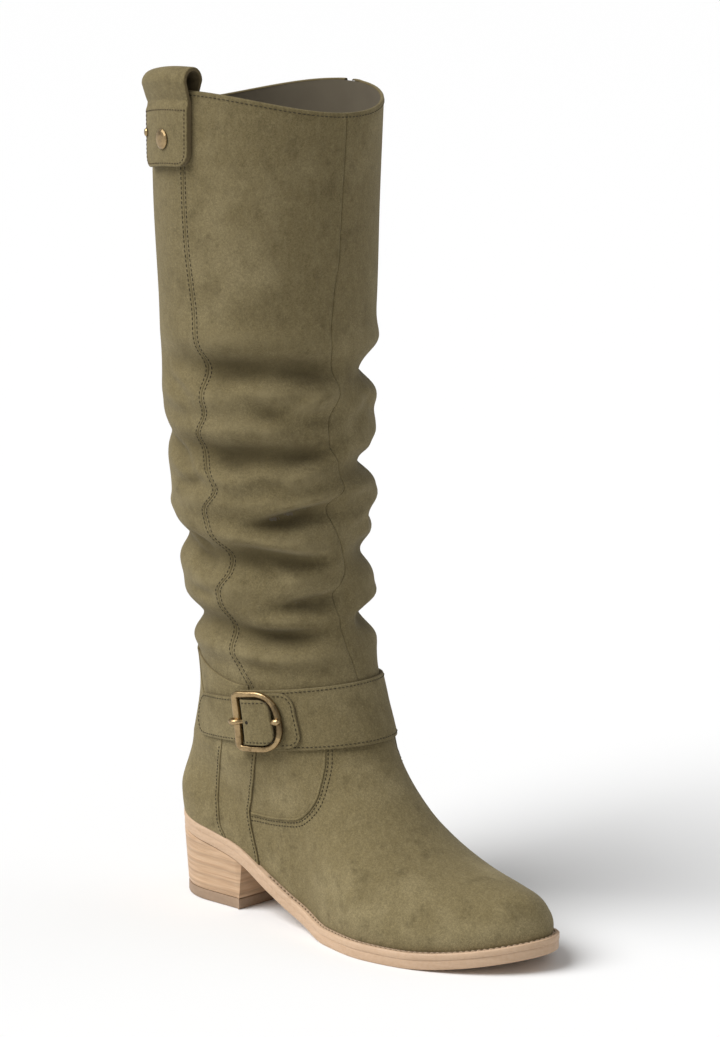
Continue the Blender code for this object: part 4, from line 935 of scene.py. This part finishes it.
def makeQuarters():
    low, lap = trims["quarterLow"], trims["backLap"]
    sidePanel("rearQuarterOuter", lambda r: lap, lambda r: float(columnAt(quarterRows, 1, r)),
              low, trims["quarterHigh"], (0, 1, 0, 1))
    sidePanel("rearQuarterInner", zipEdge, lambda r: -lap, low, trims["innerHigh"], (0, 1, 1, 0))
    counter = sidePanel("heelCounterSuede", lambda r: -float(columnAt(counterRows, 2, r)),
                        lambda r: float(columnAt(counterRows, 1, r)),
                        trims["counterLow"], trims["counterHigh"], (0, 1, 1, 1), 90, 1.012)
    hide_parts("heel_counter")


makeQuarters()
print("quarters made")

# strap, base, tab

strap = {
    "height": 0.1200, "dip": 0.0065, "width": 0.0330, "thickness": 0.0017, "start": -0.012, "zipGap": 0.0068,
    "baseStart": -0.0038, "baseEnd": 0.0220, "baseWidth": 0.0300, "baseThickness": 0.0015, "baseCorner": 0.0078,
    "tabWidth": 0.0250, "tabThickness": 0.0017, "tabCorner": 0.0065, "tabRound": 0.0105, "radius": 0.0006,
}
buckle = {
    "angle": -75.0, "width": 0.0290, "height": 0.0338, "bar": 0.0036, "depth": 0.0032, "wire": 0.0022,
    "square": 2.4, "corner": 0.003, "barWide": 1.28, "bowWide": 0.94, "sleeve": 0.0088, "sleeveGrow": 1.07,
    "hole": 0.00095, "holePlace": 0.0019,
}


def strapMiddle(turn):
    return strap["height"] - strap["dip"] * (1 + np.cos(2 * math.pi * turn))


strapRing = shaftPoint(ringTurns, np.full(361, strap["height"]))
strapRun = runAlong(strapRing)
buckleRun = np.interp((buckle["angle"] + 180) / 360, ringTurns, strapRun)


def strapPlace(distance, across):  # distance from the buckle the toe's way, across the strap upwards
    turn = np.interp(buckleRun + distance, strapRun, ringTurns)
    return turn, rowAt(turn, strapMiddle(turn) + across)


def onStrap(distance, across, offset):
    return skinPoint(*strapPlace(distance, across), offset)


baseLow = boot["seat"] + strap["thickness"] + boot["gap"]
buckleLow = baseLow + strap["baseThickness"] + boot["gap"]
barPlace = (buckle["width"] - buckle["bar"]) / 2


def bandPiece(name, start, end, width, low, high, startCorner=0.0, endCorner=0.0, columns=90):
    along = start + (end - start) * edgedShares(
        end - start, columns, max(strap["radius"], startCorner * 0.5, endCorner * 0.5))
    half = width / 2 * np.ones(len(along))
    if startCorner:
        half = half - edgeDrop(along - start, startCorner)
    if endCorner:
        half = half - edgeDrop(end - along, endCorner)
    across = edgedShares(width, 26, strap["radius"]) * 2 - 1
    grid = np.repeat(along[None, :], len(across), 0)
    turn, row = strapPlace(grid, across[:, None] * half[None, :])
    return shellPiece(name, turn, row, low(grid), high(grid), trimSuede, strap["radius"])


def level(height):  # a height that is the same all along a strap
    return lambda along: np.full(np.shape(along), height)


def makeStrap():
    zipRun = np.interp(float(zipTurn(rowAt(0.735, strapMiddle(0.735)))), ringTurns, strapRun)
    end = zipRun - buckleRun - strap["zipGap"]
    piece = bandPiece("ankleStrapSuede", strap["start"], end, strap["width"], level(0.0002),
                      level(boot["seat"] + strap["thickness"]), columns=170)
    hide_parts("ankle_strap")
    low, high = level(baseLow - 0.0002), level(baseLow + strap["baseThickness"])
    piece = bandPiece("buckleBaseSuede", strap["baseStart"], strap["baseEnd"], strap["baseWidth"],
                      low, high, 0.0, strap["baseCorner"], 50)
    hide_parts("buckle_base")
    return end


strapEnd = makeStrap()

barInside = barPlace - buckle["bar"] / 2
tab = {
    "start": -0.0545, "end": barInside - 0.0011, "rampStart": 0.0005 - barInside, "rampEnd": 0.0047 - barInside,
    "low": 0.0019, "high": buckleLow + buckle["wire"] + 0.0005, "arch": 0.0007,
}


def tabLow(along):
    run = np.clip((along - tab["rampEnd"]) / (tab["end"] - tab["rampEnd"]), 0, 1)
    ramp = easeAt(tab["rampStart"] - 0.001, tab["rampEnd"], along)
    return tab["low"] + (tab["high"] - tab["low"]) * ramp + tab["arch"] * np.sin(math.pi * run)


def tabTop(along):
    return tabLow(along) + strap["tabThickness"]


def makeTab():
    piece = bandPiece("buckleTabSuede", tab["start"], tab["end"], strap["tabWidth"], tabLow, tabTop,
                      strap["tabRound"], strap["tabCorner"], 120)
    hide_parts("buckle_tab")


def makeFrame():
    half, corner, power = (buckle["height"] - buckle["bar"]) / 2, buckle["corner"], 2 / buckle["square"]
    a = np.linspace(-math.pi / 2, math.pi / 2, 73)[1:-1]
    bow = np.stack([barPlace * np.abs(np.cos(a)) ** power, half * np.sign(a) * np.abs(np.sin(a)) ** power], 1)
    top = np.stack([(corner - barPlace) * np.linspace(0.0, 1.0, 9), np.full(9, half)], 1)
    a = np.linspace(0, math.pi / 2, 7)[1:]
    bend = np.stack([corner - barPlace - corner * np.sin(a), half - corner + corner * np.cos(a)], 1)
    bar = np.stack([np.full(17, -barPlace), np.linspace(half - corner, corner - half, 17)], 1)[1:-1]
    path = np.concatenate([bow, top, bend, bar, (bend * (1, -1))[::-1], (top * (1, -1))[::-1]])
    middle, depth, grow = buckleLow + buckle["depth"] / 2, buckle["depth"] / 2, buckle["sleeveGrow"]
    centres = onStrap(path[:, 0], path[:, 1], middle)
    ups = unit(onStrap(path[:, 0], path[:, 1], middle + 0.001) - centres)
    wide = np.where(path[:, 0] < 0.0005 - barPlace, buckle["barWide"], buckle["bowWide"])
    width = buckle["bar"] / 2 * wide
    piece = tubePiece("buckleFrameBrass", centres, ups, width, depth, antiqueBrass, True, 16, 3.0)
    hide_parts("buckle_frame")
    near = np.flatnonzero((path[:, 0] > 0) & (np.abs(path[:, 1]) < buckle["sleeve"]))
    tubePiece("buckleSleeve", centres[near], ups[near], width[near] * grow, depth * grow, sleeveBrass,
              False, 16, 3.0)


def makeProng():  # curled round the straight bar, along the strap, over the bow
    half = buckle["wire"] / 2
    eye = buckle["bar"] / 2 + boot["gap"] + half + 0.0002
    low = buckleLow + half + 0.0001
    high = buckleLow + buckle["depth"] + boot["gap"] + half
    rise = barInside - 0.0030
    a = np.radians(290 - 15 * np.arange(18))
    curl = np.stack([eye * np.cos(a) - barPlace, buckleLow + buckle["depth"] / 2 + eye * np.sin(a)], 1)
    run = [(eye + 0.0018 - barPlace, low), (0.0, low), (rise - 0.0012, low), (rise + 0.0014, (low + high) / 2),
           (barPlace - 0.0008, high), (barPlace + buckle["bar"] / 2 + 0.0004, high)]
    marks = np.concatenate([curl, run])
    length = runAlong(marks)
    end = length[-1]
    at = np.linspace(0, end, 90)
    centres = onStrap(splineAt(length, marks[:, 0], at), np.zeros(90), splineAt(length, marks[:, 1], at))
    swell = 1.15 + 0.35 * (1 - easeAt(0.012, 0.017, at)) + 0.55 * easeAt(end - 0.0065, end - 0.0022, at)
    swell = half * swell * np.sqrt(np.maximum(1 - easeAt(end - 0.0016, end, at) ** 2, 0.02))
    along = unit(np.gradient(centres, axis=0))
    ups = np.cross(unit(np.cross(along, np.array([0, 0, 1.0]))), along)
    piece = tubePiece("buckleProngBrass", centres, ups, swell, swell, antiqueBrass, False, 12, 2.0)
    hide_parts("buckle_prong")


def makeSpareHole():  # the next hole of the tab: a near-black plug through it, painted shade inside the hole
    at = tab["rampEnd"] + buckle["holePlace"]
    lifts = float(tabTop(np.array([at]))[0]) + np.array([-0.0004, 0.00018])
    centres = onStrap(np.full(2, at), np.zeros(2), lifts)
    ups = np.tile((0.0, 0.0, 1.0), (2, 1))
    tubePiece("tabHole", centres, ups, buckle["hole"], buckle["hole"], paintedHoleShade, sides=20)


makeTab()
makeFrame()
makeProng()
makeSpareHole()
print("strap and buckle made")

# pull loop

loop = {
    "angle": -105.0, "width": 0.0440, "thickness": 0.0021, "flap": 0.0016, "drop": 0.0410, "innerDrop": 0.0260,
    "rise": 0.0125, "flapEnd": -0.0085, "corner": 0.0085, "radius": 0.0006, "archRadius": 0.0054, "reach": 0.0042,
}


def loopSection():  # height of the inner face, its offset, height of the outer face, its offset
    seat = boot["seat"]
    thick, end, drop, arch = (loop[key] for key in ("thickness", "flapEnd", "drop", "archRadius"))
    double = seat + thick + loop["flap"]
    leg = [(-drop, seat, double), (-0.72 * drop, seat, double), (end - 0.0008, seat, double),
           (end + 0.0012, seat, double - 0.0007), (end + 0.0034, seat + 0.0003, seat + thick + 0.0006),
           (-0.06 * drop, 0.0020, 0.0020 + thick)]
    section = [(h, low, h, high) for h, low, high in leg]
    top, middle = loop["rise"] - arch - thick, loop["reach"] - arch
    for a in np.linspace(0.0, math.pi, 13):
        s, c = math.sin(a), math.cos(a)
        section.append((top + arch * s, middle + arch * c, top + (arch + thick) * s, middle + (arch + thick) * c))
    inside = -(boot["wall"] + seat)
    section += [(h, inside, h, inside - thick) for h in (-0.0060, -loop["innerDrop"])]
    return np.array(section)


def onCollar(turn, height, offset):
    row = np.minimum(rowAt(turn, collarHeight(turn) + height), 2.0)
    point = upperPoint(turn, row) + outwardAt(turn, np.full_like(turn, 2.0)) * offset[..., None]
    point[..., 2] += np.maximum(height, 0.0)
    return point + footprint


def makeLoop():
    section = loopSection()
    steps = np.linalg.norm(np.diff((section[:, :2] + section[:, 2:]) / 2, axis=0), axis=1) + 1e-6
    length = np.append(0.0, np.cumsum(steps))
    end, near = length[-1], np.array([0.0, 0.00012, 0.0003, 0.0006])
    dense = np.concatenate([near, np.linspace(0.001, end - 0.001, 150), end - near[::-1]])
    lines = [np.interp(dense, length, section[:, k])[:, None] for k in range(4)]
    middle = (loop["angle"] + 180) / 360
    half = loop["width"] / 2 / turnLength(np.array([middle]), np.array([2.0]))[0]
    shares = edgedShares(loop["width"], 34, loop["radius"]) * 2 - 1
    turn = np.repeat((middle + half * shares)[None, :], len(dense), 0)
    sideRun = (1 - np.abs(shares)) * loop["width"] / 2
    squeeze = (1 - easeAt(0.0, 0.016, dense))[:, None] * edgeDrop(sideRun, loop["corner"])[None, :]
    endDrop = edgeDrop(np.minimum(dense, end - dense), loop["radius"])
    drop = np.maximum(edgeDrop(sideRun, loop["radius"])[None, :], endDrop[:, None])
    inner = onCollar(turn, lines[0] + squeeze, np.repeat(lines[1], len(shares), 1))
    outer = onCollar(turn, lines[2] + squeeze, np.repeat(lines[3], len(shares), 1))
    outer = outer + unit(inner - outer) * drop[..., None]
    cut = np.concatenate([np.clip(drop / loop["radius"], 0, 1).ravel(), np.ones(turn.size)])
    points = np.concatenate([outer.reshape(-1, 3), inner.reshape(-1, 3)])
    piece = finishPiece("pullLoopSuede", points, closedFaces(*turn.shape), trimSuede,
                        fields={"cutEdge": cut, "relief": np.zeros(len(cut))})
    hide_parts("pull_loop")


makeLoop()
print("pull loop made")

# sole: welt, outsole, stacked heel, top lift


def featherOutline(end=1.0, count=150):
    station = (1 - np.cos(np.linspace(0.0, math.pi, count))) / 2
    if end < 1.0:
        station = np.append(station[station < end - 0.0005], end)
    half = halfWidth(station) * heelClose(station * boot["lastLength"])
    x = station * boot["lastLength"]
    middle = middleLine(station)
    return np.concatenate([np.stack([x, middle - half], 1), np.stack([x, middle + half], 1)[::-1]])


def growLoop(outline, distance, blunt=False):
    run = np.roll(outline, -1, 0) - np.roll(outline, 1, 0)
    tip = len(outline) // 2
    run[0] = run[-1] = (0.0, -1.0)
    if not blunt:
        run[tip] = run[tip - 1] = (0.0, 1.0)
    run = unit(run)
    out = np.stack([run[:, 1], -run[:, 0]], 1)
    return outline + out * np.broadcast_to(distance, len(outline))[:, None]


def rimWidth(outline):
    station = outline[:, 0] / boot["lastLength"]
    return boot["weltRimHeel"] + (boot["weltRim"] - boot["weltRimHeel"]) * easeAt(0.16, 0.42, station)


def platePiece(name, outline, layers, material, blunt=False):
    # layers climb: each is how far the outline is drawn in, and a function or a number for its height
    rings = []
    for inset, level in layers:
        loopPoints = growLoop(outline, -np.asarray(inset), blunt)
        z = level(loopPoints[:, 0]) if callable(level) else np.full(len(loopPoints), level)
        rings.append(np.column_stack([loopPoints, z]))
    count = len(outline)
    points = np.concatenate(rings) + footprint
    faces = []
    for i in range(len(rings) - 1):
        for k in range(count):
            j = (k + 1) % count
            faces.append((i * count + k, i * count + j, (i + 1) * count + j, (i + 1) * count + k))
    half = count // 2
    last = (len(rings) - 1) * count
    for k in range(half - 1):
        faces.append((last + k, last + k + 1, last + count - 2 - k, last + count - 1 - k))
        faces.append((count - 1 - k, count - 2 - k, k + 1, k))
    return finishPiece(name, points, faces, material, 35.0)


def above(lift):  # a height over the outsole's underside
    return lambda x: undersideAt(x) + lift


def makeSole():
    outline = featherOutline()
    gap, welt, sole = boot["gap"], boot["weltThickness"], boot["outsoleThickness"]
    base = sole + gap
    top = base + welt
    layers = [(0.012, base), (0.0005, base), (0.00015, base + 0.00015), (0.0, base + 0.0005),
              (0.0, top - 0.0007), (0.00022, top - 0.0003), (0.0007, top), (0.012, top)]
    piece = platePiece("weltRim", growLoop(outline, rimWidth(outline)), [(inset, above(h)) for inset, h in layers],
                       weltTan)
    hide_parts("welt")
    layers = [(0.012, 0.0), (0.0008, 0.0), (0.0002, 0.0003), (0.0, 0.0008),
              (0.0, sole - 0.0002), (0.00012, base), (0.012, base)]
    piece = platePiece("outsolePlate", growLoop(outline, rimWidth(outline) - gap),
                       [(inset, above(h)) for inset, h in layers], outsoleTan)
    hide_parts("outsole")


def makeHeel():
    gap, lift, taper = boot["gap"], boot["liftThickness"], boot["heelTaper"]
    heel = featherOutline(boot["heelLength"] / boot["lastLength"], 260)
    heel = growLoop(heel, boot["weltRimHeel"] - gap, True)
    layers = []
    for share in np.linspace(0.0, 1.0, 25):
        inset = taper * (1 - share) + (0.0005 if share in (0.0, 1.0) else 0.0)
        layers.append((inset, lambda x, share=share: lift + gap + (undersideAt(x) - gap - lift - gap) * share))
    piece = platePiece("stackedHeel", heel, layers, stackedWood, True)
    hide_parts("heel_block")
    layers = [(0.0008, 0.0), (0.0002, 0.0003), (0.0, 0.0008), (0.0, lift - 0.0006), (0.0002, lift - 0.0001),
              (0.0006, lift)]
    layers = [(taper + inset, h) for inset, h in layers]
    piece = platePiece("topLiftPlate", heel, layers, liftTan, True)
    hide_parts("top_lift")


makeSole()
makeHeel()
print("sole made")

# zip

zipMake = {
    "tapeWidth": 0.0105, "tapeThickness": 0.0008, "top": 0.0025, "low": 0.25,
    "toothPitch": 0.0016, "toothAside": 0.00112, "tooth": (0.00095, 0.0024, 0.0013), "toothBevel": 0.0003,
}


def zipLine():
    top = zipRows[-1][1]
    row = climbRows(zipMake["low"], float(rowAt(top, collarHeight(top) - zipMake["top"])), 0.001)
    return zipTurn(row), row


def makeZipTape():
    turn, row = zipLine()
    half = zipMake["tapeWidth"] / 2 / turnLength(turn, row)
    turns = turn[:, None] + half[:, None] * np.linspace(-1, 1, 9)[None, :]
    piece = shellPiece("zipTapeCloth", turns, np.repeat(row[:, None], 9, 1), boot["seat"] - 0.0003,
                       boot["seat"] + zipMake["tapeThickness"], zipTapeCloth, 0.0003)
    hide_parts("zip_tape")


makeZipTape()
for nodeName, material in (("insole", liningCloth), ("zip_slider", antiqueBrass), ("zip_pull", antiqueBrass),
                           ("loop_rivet", copperBrass), ("loop_rivet_small", antiqueBrass)):
    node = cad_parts[nodeName]
    node.data.materials.clear()
    node.data.materials.append(material)
print("zip made")

# stitches and zip teeth: one shape repeated along a line

threadMake = {
    "width": 0.00052, "lift": 0.00010, "pitch": 0.0026, "strapPitch": 0.0024, "trimPitch": 0.0022, "filled": 0.70,
    "weltPitch": 0.0032, "weltFilled": 0.74, "weltWidth": 0.00085, "seamAside": 0.00165, "edgeAside": 0.0017,
}


def makeRepeatTree():
    tree = bpy.data.node_groups.new("repeatAlong", "GeometryNodeTree")
    names = {}
    for label, kind in (("Line", "Geometry"), ("Pitch", "Float"), ("Piece", "Object"), ("Finish", "Material")):
        socket = tree.interface.new_socket(label, in_out="INPUT", socket_type="NodeSocket" + kind)
        names[label] = socket.identifier
    tree.interface.new_socket("Row", in_out="OUTPUT", socket_type="NodeSocketGeometry")
    ins, outs = tree.nodes.new("NodeGroupInput").outputs, tree.nodes.new("NodeGroupOutput").inputs
    curve = newNode(tree, "GeometryNodeMeshToCurve", {"Mesh": ins["Line"]}).outputs[0]
    even = newNode(tree, "GeometryNodeResampleCurve", {"Curve": curve, "Length": ins["Pitch"]}, mode="LENGTH")
    tangent = tree.nodes.new("GeometryNodeInputTangent").outputs[0]
    up = newNode(tree, "GeometryNodeInputNamedAttribute", {"Name": "up"}, data_type="FLOAT_VECTOR")
    turn = newNode(tree, "FunctionNodeAxesToRotation", {"Primary Axis": tangent, "Secondary Axis": up.outputs[0]},
                   primary_axis="X", secondary_axis="Z")
    shape = newNode(tree, "GeometryNodeObjectInfo", {"Object": ins["Piece"]}).outputs["Geometry"]
    inputs = {"Points": even.outputs[0], "Instance": shape, "Rotation": turn.outputs[0]}
    placed = newNode(tree, "GeometryNodeInstanceOnPoints", inputs)
    real = newNode(tree, "GeometryNodeRealizeInstances", {"Geometry": placed.outputs[0]})
    finish = newNode(tree, "GeometryNodeSetMaterial", {"Geometry": real.outputs[0], "Material": ins["Finish"]})
    plug(tree, outs[0], finish.outputs[0])
    return tree, names


repeatTree, repeatNames = makeRepeatTree()


def shapeObject(name, points, faces):
    mesh = bpy.data.meshes.new(name)
    mesh.from_pydata([tuple(p) for p in points], [], faces)
    mesh.shade_smooth()
    return bpy.data.objects.new(name, mesh)


def stitchShape(length, width):  # a short rounded thread that dips into its holes, along x
    stations = (
        (-0.5, 0.25, -0.55), (-0.36, 0.85, -0.05), (0.0, 1.0, 0.25), (0.36, 0.85, -0.05), (0.5, 0.25, -0.55))
    radius, sixth = width / 2, math.pi / 3
    points = [(s * length, radius * w * math.cos(k * sixth), radius * (w * math.sin(k * sixth) + lift))
              for s, w, lift in stations for k in range(6)]
    faces = [(i + (k + 1) % 6, i + 6 + (k + 1) % 6, i + 6 + k, i + k) for i in range(0, 24, 6) for k in range(6)]
    faces += [tuple(range(6))[::-1], tuple(range(24, 30))]
    return shapeObject("stitch", points, faces)


def repeatPiece(name, lines, pitch, shape, material, sharp=40):
    points, ups, edges = [], [], []
    for line, up in lines:
        first = len(points)
        points += [tuple(p) for p in line]
        ups += [tuple(u) for u in up]
        edges += [(first + k, first + k + 1) for k in range(len(line) - 1)]
    guide = bpy.data.meshes.new(name + "Line")
    guide.from_pydata(points, edges, [])
    layer = guide.attributes.new("up", "FLOAT_VECTOR", "POINT")
    layer.data.foreach_set("vector", np.array(ups, np.float32).ravel())
    holder = newObject(name + "Guide", guide)
    row = holder.modifiers.new("repeat", "NODES")
    row.node_group = repeatTree
    for label, value in (("Pitch", pitch), ("Piece", shape), ("Finish", material)):
        row[repeatNames[label]] = value
    mesh = bpy.data.meshes.new_from_object(holder.evaluated_get(bpy.context.evaluated_depsgraph_get()))
    bpy.data.objects.remove(holder)
    bpy.data.meshes.remove(guide)
    bpy.data.meshes.remove(shape.data)
    mesh.name = name
    return boardPiece(name, mesh, sharp)


def sewPiece(name, lines, pitch, thread):
    repeatPiece(name, lines, pitch, stitchShape(pitch * threadMake["filled"], threadMake["width"]), thread)


def onSkin(turn, row, lift):  # a line for stitches, with its way up
    turn, row = np.broadcast_arrays(np.asarray(turn, float), np.asarray(row, float))
    return skinPoint(turn, row, lift + threadMake["lift"]), outwardAt(turn, row)


def roundedPath(corners, radius):  # a path through corners, each rounded
    path = [np.array(corners[0], float)]
    for before, here, after in zip(corners, corners[1:], corners[2:]):
        before, here, after = np.array(before, float), np.array(here, float), np.array(after, float)
        start, end = here + unit(before - here) * radius, here + unit(after - here) * radius
        for t in np.linspace(0, 1, 7):
            path.append(start * (1 - t) ** 2 + here * 2 * t * (1 - t) + end * t * t)
    path.append(np.array(corners[-1], float))
    path = np.array(path)
    run = runAlong(path)
    at = np.linspace(0, run[-1], max(8, int(run[-1] / 0.0012)))
    return np.stack([np.interp(at, run, path[:, k]) for k in range(2)], 1)


def strapStitch(corners, radius, height):
    path = roundedPath(corners, radius)
    return onSkin(*strapPlace(path[:, 0], path[:, 1]), height(path[:, 0]))


def roundEnd(near, far, edge, radius, height):  # out along one edge, round the end and back
    return strapStitch([(near, edge), (far, edge), (far, -edge), (near, -edge)], radius, height)


def besideZip(rows, side):
    turn = zipTurn(rows)
    return turn + side * panels["zipSeam"] / turnLength(turn, rows)


def makeShaftStitches():
    rows = climbRows(1.10, 1.985, 0.002)
    lines = []
    for side in (-1, 1):
        turn = seamTurn(sideSeamRows, rows)
        turn = turn + side * threadMake["seamAside"] / turnLength(turn, rows)
        lines.append(onSkin(turn, rows, 0.0))
        turn = besideZip(rows, side)
        lines.append(onSkin(turn, rows, zipLift(turn, rows)))
    top = zipRows[-1][1]
    turn = np.linspace(top - 1 + 0.0125, top - 0.0125, 700)
    row = rowAt(turn, collarHeight(turn) - 0.0024)
    lines.append(onSkin(turn, row, zipLift(turn % 1.0, row)))
    sewPiece("shaftStitches", lines, threadMake["pitch"], darkThread)


def makeStrapStitches():
    end = strapEnd - 0.0019
    lines = [roundEnd(0.0, end, strap["width"] / 2 - 0.0017, 0.0012, level(boot["seat"] + strap["thickness"]))]
    base = level(baseLow + strap["baseThickness"])
    lines.append(roundEnd(0.0118, strap["baseEnd"] - 0.0016, strap["baseWidth"] / 2 - 0.0016, 0.0066, base))
    edge = strap["tabWidth"] / 2 - 0.0016
    lines.append(roundEnd(tab["rampStart"] - 0.0030, tab["start"] + 0.0016, edge, 0.0098, tabTop))
    for side in (-1, 1):
        ends = [(tab["rampEnd"] + 0.0008, side * edge), (tab["end"] - 0.0008, side * edge)]
        lines.append(strapStitch(ends, 0.001, tabTop))
    sewPiece("strapStitches", lines, threadMake["strapPitch"], darkThread)


def loopFace(height):  # outer face offset of the loop's lower leg at a height below the collar
    section = loopSection()[:7]
    return np.interp(height, section[:, 2], section[:, 3])


def makeLoopStitches():
    middle = (loop["angle"] + 180) / 360
    around = turnLength(np.array([middle]), np.array([2.0]))[0]
    edge = loop["width"] / 2 - 0.0018
    low, high = -loop["drop"] + 0.0018, loop["flapEnd"] - 0.0020
    lines = []
    for corners in ([(-edge, high), (-edge, low), (edge, low), (edge, high)], [(-edge, high), (edge, high)]):
        path = roundedPath(corners, loop["corner"] * 0.8)
        turn = middle + path[:, 0] / around
        points = onCollar(turn, path[:, 1], loopFace(path[:, 1]) + threadMake["lift"])
        lines.append((points, outwardAt(turn, np.full_like(turn, 2.0))))
    sewPiece("loopStitches", lines, threadMake["trimPitch"], tanThread)


# line of the vamp's upper edge in side view (mm), on either side of the foot
vampLines = {
    "outer": ((120.6, 104), (121.8, 86.0), (119.5, 73.0), (111.0, 63.5), (95.0, 59.8), (72.0, 58.4)),
    "inner": ((123.8, 103), (125.2, 78.0), (97.8, 57.0), (72.0, 49.5)),
}


def insideEdge(edge, side, rows):  # a seam's line moved in from a panel's edge
    return edge - side * threadMake["edgeAside"] / turnLength(edge, rows)


def makeVampEdge():
    lines = []
    for side, marks in vampLines.items():
        turn, row = linePlaces(side, marks, 110)
        centres = skinPoint(turn, row, 0.00012)
        tubePiece("vampEdge" + side.capitalize(), centres, outwardAt(turn, row), 0.00075, 0.00052, vampSuede)
        for distance in (0.0019, 0.0042):
            place = besideLine(turn, row, -distance if side == "outer" else distance)
            lines.append(onSkin(*place, -0.00005))
    rows = np.linspace(0.03, 1.0, 150)
    for side, column in ((1, 1), (-1, 2)):
        turn = insideEdge(side * columnAt(counterRows, column, rows), side, rows)
        lines.append(onSkin(turn, rows, trims["counterHigh"]))
    lines.append(onSkin(insideEdge(columnAt(quarterRows, 1, rows), 1, rows), rows, trims["quarterHigh"]))
    rows = climbRows(0.27, 1.03, 0.002)
    for side in (-1, 1):
        turn = besideZip(rows, side)
        lines.append(onSkin(turn, rows, zipLift(turn, rows) + (trims["innerHigh"] if side > 0 else 0)))
    sewPiece("footStitches", lines, threadMake["trimPitch"], darkThread)


def makeWeltStitches():  # a sewn row beside the upper, over a flat darker strip that is painted shade of the welt's shallow channel
    outline = featherOutline(1.0, 320)
    line = growLoop(outline, rimWidth(outline) * 0.36)
    line = line[line[:, 0] > 0.086]
    ups = np.tile((0.0, 0.0, 1.0), (len(line), 1))
    channel = np.column_stack([line, weltTop(line[:, 0])]) + footprint
    tubePiece("weltChannel", channel, ups, 0.00055, 0.00008, weltChannelShade, sides=8)
    pitch = threadMake["weltPitch"]
    thread = stitchShape(pitch * threadMake["weltFilled"], threadMake["weltWidth"])
    repeatPiece("weltStitches", [(channel + ups * 0.00012, ups)], pitch, thread, paleThread)


makeShaftStitches()
makeStrapStitches()
makeLoopStitches()
makeVampEdge()
makeWeltStitches()
print("stitches made")


def boxShape(name, size, bevel):  # a small block with its upper edges taken off, along x
    a, b, h = (s / 2 for s in size)
    points = []
    for x, y, z in ((a, b, -h), (a, b, h - bevel), (a - bevel, b - bevel, h)):
        points += [(-x, -y, z), (x, -y, z), (x, y, z), (-x, y, z)]
    faces = [(0, 3, 2, 1), (8, 9, 10, 11)]
    faces += [(i + k, i + (k + 1) % 4, i + 4 + (k + 1) % 4, i + 4 + k) for i in (0, 4) for k in range(4)]
    return shapeObject(name, points, faces)


def makeZipTeeth():
    turn, row = zipLine()
    length = turnLength(turn, row)
    pitch = zipMake["toothPitch"]
    lines = []
    for side in (-1, 1):
        across = turn + side * zipMake["toothAside"] / length
        points = skinPoint(across, row, boot["seat"] + zipMake["tapeThickness"] + 0.00055)
        ups = outwardAt(across, row)
        if side > 0:
            run = runAlong(points)
            at = np.linspace(pitch / 2, run[-1], len(run))
            points, ups = (np.stack([np.interp(at, run, v[:, k]) for k in range(3)], 1) for v in (points, ups))
        lines.append((points, ups))
    shape = boxShape("tooth", zipMake["tooth"], zipMake["toothBevel"])
    piece = repeatPiece("zipTeethBrass", lines, pitch, shape, toothBrass, 25)
    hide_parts("zip_teeth")


makeZipTeeth()
print("zip teeth made")

# floor, light and camera

studio = {
    "floorSize": 60.0, "floorTone": 0.86, "worldLight": 0.31, "backdrop": 0.95,
    # sun lamps: strength, spread in degrees, and where the light comes from (camera's right, camera's way, up)
    "keyLight": (3.4, 42.0, (-0.75, -0.28, 0.92)), "rimLight": (0.30, 60.0, (0.9, 0.25, 0.7)),
}
photoView = {
    "heading": 42.79, "distance": 2.091, "side": 0.1348, "height": 0.614,
    "lens": 130.558, "aim": (0.0, 0.0, 0.228),
}


def viewWays():  # the camera's right and its way ahead, both level
    heading = math.radians(photoView["heading"])
    c, s = math.cos(heading), math.sin(heading)
    return Vector((c, s, 0)), Vector((-s, c, 0))


def aimed(item, spot, way):
    item.location = spot
    item.rotation_euler = way.to_track_quat("-Z", "Y").to_euler()


def makeFloor():
    h, tone = studio["floorSize"] / 2, studio["floorTone"]
    mesh = bpy.data.meshes.new("floor")
    mesh.from_pydata([(-h, -h, 0), (h, -h, 0), (h, h, 0), (-h, h, 0)], [], [(0, 1, 2, 3)])
    material, _, shader, _ = newMaterial("paleFloor", 0.9, 0.1)
    shader["Base Color"].default_value = (tone, tone, tone, 1)
    mesh.materials.append(material)
    newObject("floor", mesh)


def makeLamp(name):
    strength, spread, source = studio[name]
    right, ahead = viewWays()
    lamp = bpy.data.lights.new(name, "SUN")
    lamp.energy = strength
    lamp.angle = math.radians(spread)
    away = right * source[0] + ahead * source[1] + Vector((0, 0, source[2]))
    aimed(newObject(name, lamp), away * 2, -away)


def makeCamera():
    right, ahead = viewWays()
    base = Vector((footprint[0], footprint[1], photoView["height"]))
    spot = right * photoView["side"] - ahead * photoView["distance"] + base
    data = bpy.data.cameras.new("camera")
    data.lens = photoView["lens"]
    data.sensor_width = 36.0
    camera = newObject("camera", data)
    aimed(camera, spot, Vector(photoView["aim"]) - spot)
    bpy.context.scene.camera = camera


def makeWorld():  # soft even light; the backdrop itself stays pale
    world = bpy.data.worlds.new("studio")
    bpy.context.scene.world = world
    world.use_nodes = True
    tree = world.node_tree
    light = tree.nodes["Background"].inputs
    seen = tree.nodes.new("ShaderNodeLightPath").outputs["Is Camera Ray"]
    plug(tree, light["Strength"], rangeNode(tree, seen, 0.0, 1.0, studio["worldLight"], studio["backdrop"]))
    light["Color"].default_value = (1, 1, 1, 1)
    bpy.context.scene.view_settings.view_transform = "Standard"


makeWorld()
makeFloor()
makeLamp("keyLight")
makeLamp("rimLight")
makeCamera()
print("stage and camera made")
